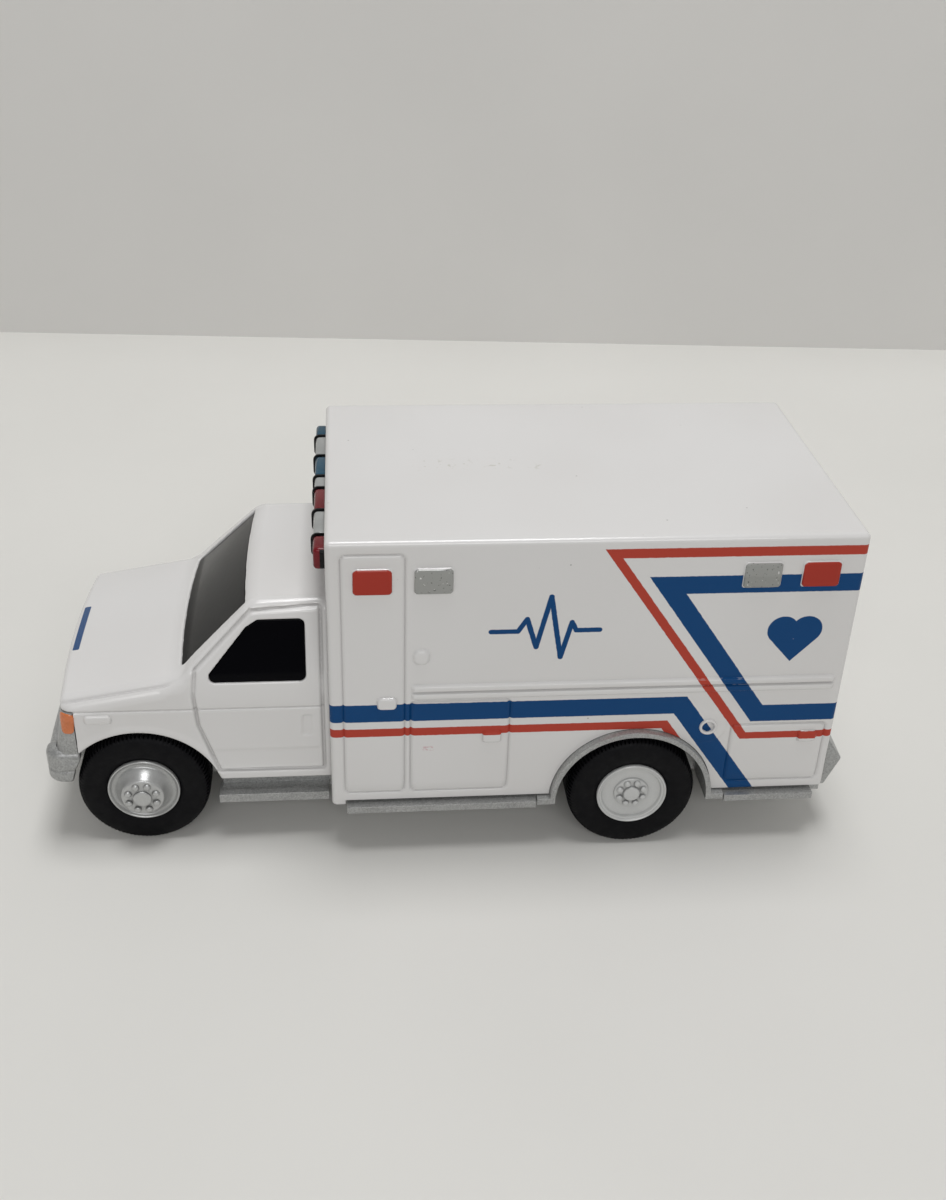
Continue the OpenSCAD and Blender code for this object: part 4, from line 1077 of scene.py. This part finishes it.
def arch_field(x, z):
    return np.hypot(x - ARCH[0], z - ARCH[1]) - ARCH_R


def wheel_well(x, y, z, spare=0.0):
    return np.maximum(arch_field(x, z) - spare, ARCH_IN - spare - y)


def cab_relief(x, y, z):
    """Moulded lines and raised shapes on the cab's sides, as a change of the field."""
    on_side = ramp(y, 12.5, 13.5)
    door = polygon_field(x, z, DOOR) - 0.3
    line = line_field(door, DOOR_LINE) - line_field(door - 0.75, DOOR_FRAME) * ramp(z, LEAN_Z, LEAN_Z + 4)
    belt = line_field(z - BELT_Z, BELT_LINE) * ramp(-x, 16.9, 17.3)
    lower = DOOR_STEP * ramp(-z, -14.9, -14.5) * ramp(-door, 0.3, 0.7)
    recess = RECESS_DEPTH * ramp(-rect_field(x, z, *HANDLE_RECESS), 0.0, 0.4)
    strip = -STRIP_H * raised(rect_field(x, z, *FENDER_STRIP), 0.35)
    flare = -line_field(arch_field(x, z) - 0.45, ARCH_FLARE) * ramp(z, 9.8, 11)
    hood_line = line_field(y - HOOD_HW - 0.55, HOOD_LINE) * ramp(z, 21.7, 22.2) * ramp(-x, 35.5, 37.5)
    return on_side * (line + belt + lower + recess + strip + flare + hood_line)


def cab_field(x, y, z):
    """The cab with its relief, its glass pockets, the seat of the grille and its wheel wells."""
    form = cab_form(x, y, z)
    f = form + cab_relief(x, y, z)
    for outline in glass_outlines(x, y, z):
        pocket = np.maximum(outline, -form - GLASS_DEEP)
        f = round_max(f, -pocket, 0.14)
    seat = common(-plan_field(x - GRILLE_T - 0.05, y), x - GRILLE_BACK_X, z - GRILLE_TOP,
                  GRILLE_LOW - 0.6 - z)
    chin = np.maximum(x - CAB_FRONT - 1.85, z - GRILLE_LOW)
    f = common(f, -seat, -chin)
    return rounded(f, (-wheel_well(x, y, z), 0.28), (CAB_BOTTOM - z, 0.25), (x - CAB_REAR, 0.15))


def cab_hollow(x, y, z):
    """The space inside the cab, open below and clear of the wheel wells."""
    return common(cab_form(x, y, z) + CAB_WALL, -wheel_well(x, y, z, 1.0), CAB_FRONT + 4.6 - x,
                  x - CAB_REAR + CAB_WALL, 5 - z)


def make_cab():
    low = (NOSE_X - ROOM, 0, CAB_BOTTOM - ROOM)
    high = (CAB_REAR + ROOM, CAB_HW + ROOM, ROOF_TOP + ROOM)
    cab = net_object("cab", cab_field, low, high, 0.18, "cab")
    hollow = net_object("cab_hollow", cab_hollow, (NOSE_X, 0, 4), high, 0.7, "cab")
    cut_away(cab, hollow)
    finish_mesh(cab.data, 50)
    place(cab, "body", "white_plastic", "cab_shell")


def make_glazing():
    """The windscreen and the door windows, crowned and set a little into the cab."""
    def pane(pick):
        def field(x, y, z):
            form = cab_form(x, y, z)
            outline = glass_outlines(x, y, z)[pick] + 0.04
            return np.maximum(round_max(form + GLASS_SET, outline, 0.22), -form - GLASS_DEEP - 0.25)
        return field

    low = (COWL_X - 1, 0, HOOD_REAR_Z - 1)
    high = (CAB_REAR, CAB_HW + 0.5, ROOF_TOP)
    screen = net_object("windscreen", pane(1), low, high, 0.16, "screen", 60)
    place(screen, "body", "dark_glazing")
    windows = net_object("door_windows", pane(0), low, high, 0.14, "window", 60)
    place(windows, "body", "dark_glazing", "cab_glazing")


# Nose and tail

HEADLAMP = ((CAB_HW - 5.2, 18.4), (5.4, 4.7), 0.8)
SLAT_Z = 20.3
SLAT_SIZE = (17.0, 0.7)
SLAT_PITCH = 1.25
SLAT_COUNT = 4
SLAT_DEPTH = 0.55
LAMP_LINE = (0.3, 0.32)
BEZEL = (0.14, 0.5)
RIB_H = 0.1
RIB_WAVE = 7.5
MARKER = (CAB_FRONT + 0.35, 19.5)
MARKER_SIZE = (2.1, 3.3)
GRILLE_LEAN = 0.2
BUMPER_Z = (10.1, 14.1)
BUMPER_BOW_R = bow_radius(15.5, 0.35)
CREASE = (0.16, 0.28)
CREASE_Z = 12.05
END_KNOB_H = 0.25
VALANCE = ((FRONT_X + 1.95, 10.0), (1.2, 1.9), 0.4)
REAR_TIP_Z = 11.7
REAR_BUMPER_Z = (7.35, 14.75)
REAR_BUMPER_HW = 20
REAR_BOW = 0.5
REAR_EDGE_R = 0.35
SILVER_SHARP = 45


def leaning_plan(x, y, z):
    """The nose's plan, moved forward towards the bumper."""
    return plan_field(x + np.maximum(GRILLE_TOP - z, 0) * GRILLE_LEAN, y)


def grille_field(x, y, z):
    """The grille panel: slats in the middle and a framed, ribbed headlamp on each side."""
    form = round_max(hood_field(x, y, z), leaning_plan(x, y, z), 0.6)
    slats = 0
    for i in range(SLAT_COUNT):
        d = rect_field(y, z, (0, SLAT_Z - i * SLAT_PITCH), SLAT_SIZE, 0.3)
        slats = np.maximum(slats, SLAT_DEPTH * ramp(-d, 0.0, 0.25))
    lamp = rect_field(y, z, *HEADLAMP)
    frame_line = line_field(lamp + 0.25, LAMP_LINE)
    bezel = -line_field(lamp + 0.95, BEZEL)
    ribs = RIB_H * (1 + np.sin(y * RIB_WAVE)) * ramp(-lamp, 1.3, 1.5)
    facing = ramp(-x, -CAB_FRONT - 0.6, -CAB_FRONT) * ramp(-y, -16.6, -16.2)
    f = form + facing * (slats + frame_line + bezel + ribs)
    back = -plan_field(x - GRILLE_T, y)
    f = common(f, back, x - GRILLE_BACK_X + 0.05, z - GRILLE_TOP + 0.02, GRILLE_LOW + 0.05 - z)
    return round_max(f, -wheel_well(x, y, z), 0.2)


def bumper_field(x, y, z):
    """A creased bar that wraps the nose, with a knob at each end and a valance below."""
    bow = np.hypot(x - FRONT_X - BUMPER_BOW_R, y) - BUMPER_BOW_R
    plan = round_max(y - CAB_HW - 0.3, bow, 2.2)
    low, high = BUMPER_Z
    bar = rounded(plan, (z - high - ramp(y, 13.5, 15.5), 1.1), (low - z, 0.7))
    crease = line_field(z - CREASE_Z, CREASE)
    end_knob = -END_KNOB_H * hump(np.hypot(z - 13.1, (x - CAB_FRONT - 0.2) / 1.3), 1.0) * ramp(y, 15, 17)
    bar = bar + crease + end_knob
    valance = round_max(rect_field(x, z, *VALANCE), y - CAB_HW + 3.2, 0.4)
    f = round_min(bar, valance, 0.3)
    nose = common(leaning_plan(x, y, z) - 0.05, GRILLE_LOW - 0.05 - z, y - CAB_HW + 1.2)
    behind = np.maximum(NOSE_X - 0.05 - x, y - CAB_HW + 1.8)
    tyre = np.hypot(x - FRONT_AXLE_X, z - AXLE_Z) - TYRE_R - 0.5
    return rounded(common(f, -nose, -behind), (x - CAB_FRONT - 1.4, 0.3), (-tyre, 0.25))


def marker_field(x, y, z):
    """A teardrop lamp on the corner of the nose."""
    narrow = 0.16 * (MARKER[1] + 1.5 - z)
    drop = rect_field(x + 0.1 * narrow, z, MARKER, MARKER_SIZE, 0.75) + narrow * 0.6
    plan = leaning_plan(x, y, z)
    shape = np.maximum(drop, 15.9 - y)
    return np.maximum(round_max(plan - 0.2, shape, 0.18), -plan - 0.5)


def make_nose():
    low = (FRONT_X - ROOM, 0, 8.6)
    high = (CAB_FRONT + 3.4, CAB_HW + ROOM, 24)
    grille = net_object("grille", grille_field, low, high, 0.16, "silver", SILVER_SHARP)
    place(grille, "body", "silver_plastic", "grille_panel")
    bumper = net_object("front_bumper_bar", bumper_field, low, high, 0.18, "silver", SILVER_SHARP)
    place(bumper, "body", "silver_plastic", "front_bumper")
    markers = net_object("corner_markers", marker_field, low, high, 0.12, "orange")
    place(markers, "body", "silver_plastic")


def rear_bumper_field(x, y, z):
    """A wedge that runs the width of the tail, bowed a little towards its ends."""
    r = REAR_EDGE_R
    low, high = REAR_BUMPER_Z
    wedge = [(BOX_REAR + 0.4, low + r), (BOX_REAR + 1.1, low + r), (REAR_X - r, REAR_TIP_Z),
             (BOX_REAR + 0.85, high - r), (BOX_REAR + 0.4, high - r)]
    f = polygon_field(x + REAR_BOW * (y / REAR_BUMPER_HW) ** 2, z, wedge) - r
    f = np.maximum(f, BOX_REAR + 0.1 - x)
    return round_max(f, y - REAR_BUMPER_HW, 0.4)


def make_tail():
    low = (BOX_REAR - 0.5, 0, REAR_BUMPER_Z[0] - ROOM)
    high = (REAR_X + ROOM, REAR_BUMPER_HW + ROOM, REAR_BUMPER_Z[1] + ROOM)
    bumper = net_object("rear_bumper_bar", rear_bumper_field, low, high, 0.2, "silver", SILVER_SHARP)
    place(bumper, "body", "silver_plastic", "rear_bumper")


# Wheels

LUGS = 96
LUG_STEPS = (0.0, 0.5, 0.6, 0.9)
LUG_DEPTH = 0.26
NUTS = 8
DOME_SCALE = 0.8
RIM_SEGMENTS = 96
RIM_LIP = [(4.42, 0.14), (4.5, 0.0), (4.6, -0.06), (4.72, -0.03), (4.79, 0.1)]
RIM_DEEP = TYRE_W - 0.45
RIM_BACK = [(4.78, 0.42), (4.72, 0.52), (4.36, 0.56), (4.36, RIM_DEEP), (3.75, RIM_DEEP), (3.75, 2.4),
            (2.2, 2.4), (2.2, RIM_DEEP), (1.0, RIM_DEEP), (1.0, 1.5), (0, 1.5)]
FRONT_FACE = [(0, -2.5), (0.8, -2.52), (1.08, -2.48), (1.2, -2.36), (1.24, -2.14), (1.34, -2.06),
              (2.45, -2.04), (2.66, -1.98), (2.8, -1.82), (2.92, -1.5), (3.08, -0.98), (3.28, -0.52),
              (3.5, -0.12), (3.68, 0.16), (3.9, 0.3), (4.15, 0.33), (4.3, 0.28)]
REAR_FACE = [(0, -0.07), (0.8, -0.09), (1.04, -0.05), (1.14, 0.06), (1.18, 0.28), (1.26, 0.32), (2.16, 0.32),
             (2.28, 0.36), (2.36, 0.46), (2.42, 0.62), (2.56, 0.66), (3.84, 0.58), (4.0, 0.52), (4.08, 0.38),
             (4.16, 0.2), (4.26, 0.15)]
# The nuts' ring and radius, and the way to their top and base
FRONT_NUTS = (1.98, 0.46, -2.5 * DOME_SCALE, -1.95 * DOME_SCALE)
REAR_NUTS = (1.74, 0.44, -0.07, 0.38)


def tyre_profile():
    """The tyre's section as (radius, way in from the outer face), mirrored to its other half."""
    r = TYRE_R
    half = [(r - 3.9, 0.42), (r - 3.55, 0.2), (r - 3.1, 0.06), (r - 2.6, 0.0), (r - 1.6, 0.02),
            (r - 1.0, 0.1), (r - 0.65, 0.22), (r - 0.4, 0.42), (r - 0.22, 0.68), (r - 0.09, 1.05),
            (r - 0.02, 1.5), (r, 2.2), (r - 0.02, 2.35), (r - 0.3, 2.42), (r - 0.3, 2.72), (r - 0.01, 2.8)]
    bead = [(r - 4.35, TYRE_W - 0.55), (r - 4.35, 0.6)]
    return half + [(radius, TYRE_W - way) for radius, way in half[::-1]] + bead


def tyre_mesh():
    """A tyre whose shoulders are notched into lugs."""
    profile = tyre_profile()
    angles = np.concatenate([np.arange(LUGS) + step for step in LUG_STEPS])
    angles = np.sort(angles) / LUGS * 2 * math.pi
    notch = np.tile([0.0, 0.0, 1.0, 1.0], LUGS)
    radius, way = np.array(profile + profile[:1]).T
    near = np.minimum(way, TYRE_W - way)
    lug = ramp(radius, TYRE_R - 0.5, TYRE_R - 0.2) * ramp(-near, -2.9, -2.4)
    depth = LUG_DEPTH * lug[:, None] * notch[None, :]
    r = radius[:, None] - depth
    y = way[:, None] + np.where(way < TYRE_W / 2, 1, -1)[:, None] * depth * 0.25
    points = np.stack([r * np.cos(angles), y + 0 * r, r * np.sin(angles)], -1).reshape(-1, 3)
    return points, grid_faces(len(radius), len(angles), wrap=True)


def rim_mesh(front):
    """A rim with its ring of nuts. The way counts inwards from the tyre's face."""
    face = REAR_FACE
    if front:
        face = [(radius, way * DOME_SCALE if way < 0 else way) for radius, way in FRONT_FACE]
    ring, r, top, base = FRONT_NUTS if front else REAR_NUTS
    h = base - top
    section = [(0, top), (r * 0.55, top), (r * 0.82, top + h * 0.14), (r * 0.97, top + h * 0.4), (r, base),
               (0, base)]
    points, faces = lathe(section, 18, close=False)
    parts = [lathe(face + RIM_LIP + RIM_BACK, RIM_SEGMENTS, close=False)]
    for i in range(NUTS):
        turn = (i + 0.5) / NUTS * 2 * math.pi
        parts.append((points + np.array([ring * math.cos(turn), 0, ring * math.sin(turn)]), faces))
    return merged(*parts)


def make_wheels():
    """Four tyres and rims. Each is made for the left side and mirrored for the right."""
    for end, x, low in (("front", FRONT_AXLE_X, TYRE_LOW), ("rear", REAR_AXLE_X, REAR_TYRE_LOW)):
        for side, sign in (("left", 1), ("right", -1)):
            for kind, suffix, slot, (points, faces), key, sharp in (
                    ("tyre", "rubber", "tyre_rubber", tyre_mesh(), "tyre", 35),
                    ("rim", "face", "rim_silver", rim_mesh(end == "front"), f"{end}_rim", 38)):
                points = (points + np.array([x, low[1], AXLE_Z])) * np.array([1, sign, 1])
                name = f"{end}_{side}_{kind}"
                piece = new_object(f"{name}_{suffix}", points, faces, key, sharp)
                place(piece, f"{end}_wheels", slot, name)


# Light bar

LAMP_ENDS = (1.8, 8.2, 14.85, 18.9)
LAMP_GAP = 0.16
LAMP_INSET = 0.3
LAMP_EDGE_R = 0.55
BAR_REACH = 1.75
BAR_Z = (BAR_LOW[2] - 0.08, BAR_HIGH[2] + 0.1)
DIVIDER_T = 0.28
DIVIDER_R = 0.8
DIVIDER_RISE = 0.12


def make_light_bar():
    """Rounded lamps in a row, from red on the left through clear to blue on the right."""
    front, back = BOX_FRONT - BAR_REACH + LAMP_INSET, BOX_FRONT + 0.5

    def lamp(name, y0, y1, key, *nodes):
        low, high = (front, y0 + LAMP_GAP, BAR_Z[0]), (back, y1 - LAMP_GAP, BAR_Z[1])
        piece = block_object(name, low, high, LAMP_EDGE_R, key, 5)
        place(piece, "body", key, *nodes)

    lamp("bar_lamp_centre", -LAMP_ENDS[0], LAMP_ENDS[0], "clear_lamp", "light_bar_clear_lamps")
    for sign, side, key, node in ((-1, "left", "red_lamp", "light_bar_red_lamps"),
                                  (1, "right", "blue_lamp", "light_bar_blue_lamps")):
        spans = [sorted((sign * a, sign * b)) for a, b in zip(LAMP_ENDS, LAMP_ENDS[1:])]
        lamp(f"bar_lamp_{side}_inner", *spans[0], key, node)
        lamp(f"bar_lamp_{side}_clear", *spans[1], "clear_lamp")
        lamp(f"bar_lamp_{side}_end", *spans[2], key)


def make_dividers():
    """Black plates between the lamps, a little proud of them, with rounded front corners."""
    front, back = BOX_FRONT - BAR_REACH, BOX_FRONT + 0.3
    low, high = BAR_Z[0] - DIVIDER_RISE, BAR_Z[1] + DIVIDER_RISE
    r = DIVIDER_R
    turn = np.linspace(0, math.pi / 2, 8)
    outline = [(back, low), (back, high)]
    outline += [(front + r * (1 - math.sin(t)), high - r * (1 - math.cos(t))) for t in turn]
    outline += [(front + r * (1 - math.cos(t)), low + r * (1 - math.sin(t))) for t in turn]
    n = len(outline)
    near, far = list(range(n)), list(range(n, 2 * n))
    faces = [near, far[::-1]]
    faces += [[near[i], far[i], far[(i + 1) % n], near[(i + 1) % n]] for i in range(n)]
    plates = []
    for middle in [sign * y for sign in (-1, 1) for y in LAMP_ENDS[:-1]]:
        ends = (middle - DIVIDER_T / 2, middle + DIVIDER_T / 2)
        plates.append((np.array([(x, y, z) for y in ends for x, z in outline]), faces))
    dividers = new_object("light_bar_dividers", *merged(*plates), "black", 40)
    place(dividers, "body", "black_plastic")


# Nodes that keep their form: a finish and the width of the softened edges

ROUNDED = dict(chassis_base=("silver", 0.18), left_wheel_arch=("silver", 0.16),
               right_wheel_arch=("silver", 0.16), light_bar_base=("black", 0.1), base_screws=("screw", 0.06))
AXLES = ("front_axle", "rear_axle")
ROUND_WELD = 0.001
FLAT_ANGLE = math.radians(2)
SOFT_ANGLE = math.radians(40)


def round_nodes():
    """Stands a copy with softened edges in for each hard-edged node."""
    slots = {part["node"]: part["material_slot"] for part in frame["record"]["subparts"]}
    for name, (key, r) in ROUNDED.items():
        node = NODES[name]
        obj = link_object(name + "_rounded", node.data.copy())
        obj.matrix_world = node.matrix_world
        dress(obj.data, key)
        set_all(obj.modifiers.new("weld", "WELD"), merge_threshold=ROUND_WELD * MM)
        set_all(obj.modifiers.new("flat", "DECIMATE"), decimate_type="DISSOLVE", angle_limit=FLAT_ANGLE)
        set_all(obj.modifiers.new("soft", "BEVEL"), width=r * MM, segments=3, limit_method="ANGLE",
                angle_limit=SOFT_ANGLE, harden_normals=True)
        place(obj, "body", slots[name], name)


# Stage, light and camera

STAGE_REACH = 900
FLOOR_BACK = 400
WALL_FOOT = (20.3, 177.1, -5)
WALL_TURN = -3.63
WALL_H = 320
WORLD_COLOUR = (1.0, 0.995, 0.985, 1)
WORLD_STRENGTH = 0.27
CAMERA_AT = (-13.06, -162.70, 124.66)
CAMERA_DOWN = 30.955
CAMERA_YAW = 5.99
CAMERA_ROLL = 1.92
CAMERA_LENS = 40.32


def make_stage():
    """A pale table top that ends at a plain wall."""
    reach = STAGE_REACH
    table = [(-reach, -reach, 0), (reach, -reach, 0), (reach, FLOOR_BACK, 0), (-reach, FLOOR_BACK, 0)]
    turn = math.radians(WALL_TURN)
    along = np.array([math.cos(turn), math.sin(turn), 0]) * reach
    foot = np.array(WALL_FOOT)
    up = np.array([0, 0, WALL_H])
    sheet = [foot - along, foot + along, foot + along + up, foot - along + up]
    floor = new_object("stage_floor", table, [(0, 1, 2, 3)], "floor")
    wall = new_object("stage_wall", sheet, [(0, 1, 2, 3)], "wall")


def add_area(name, at, target, size, power):
    lamp = bpy.data.lights.new(name, "AREA")
    obj = link_object(name, set_all(lamp, shape="RECTANGLE", size=size[0], size_y=size[1], energy=power))
    obj.location = at
    obj.rotation_euler = (Vector(target) - Vector(at)).to_track_quat("-Z", "Y").to_euler()


def make_light():
    world = bpy.data.worlds.new("soft_room")
    world.use_nodes = True
    background = world.node_tree.nodes["Background"]
    background.inputs["Color"].default_value = WORLD_COLOUR
    background.inputs["Strength"].default_value = WORLD_STRENGTH
    bpy.context.scene.world = world
    add_area("ceiling", at=(0.04, 0.015, 0.8), target=(0, 0.02, 0), size=(0.4, 0.26), power=2.95)
    add_area("front_fill", at=(-0.03, -0.95, 0.65), target=(0, 0, 0.02), size=(0.9, 0.3), power=3.2)


def make_camera():
    data = bpy.data.cameras.new("camera")
    camera = link_object("camera", set_all(data, lens=CAMERA_LENS, sensor_width=36, clip_start=0.005))
    down, yaw, roll = (math.radians(v) for v in (CAMERA_DOWN, CAMERA_YAW, CAMERA_ROLL))
    tilt = Matrix.Rotation(math.pi / 2 - down, 4, "X")
    turn = Matrix.Rotation(-yaw, 4, "Z") @ tilt @ Matrix.Rotation(roll, 4, "Z")
    camera.matrix_world = Matrix.Translation(Vector(CAMERA_AT) * MM) @ turn
    bpy.context.scene.camera = camera


make_box()
make_filler()
make_cab()
make_glazing()
make_nose()
make_tail()
make_wheels()
make_light_bar()
make_dividers()
round_nodes()
for axle in AXLES:
    dress(NODES[axle].data, "steel")
make_stage()
make_light()
make_camera()
bpy.context.scene.view_settings.view_transform = "Standard"
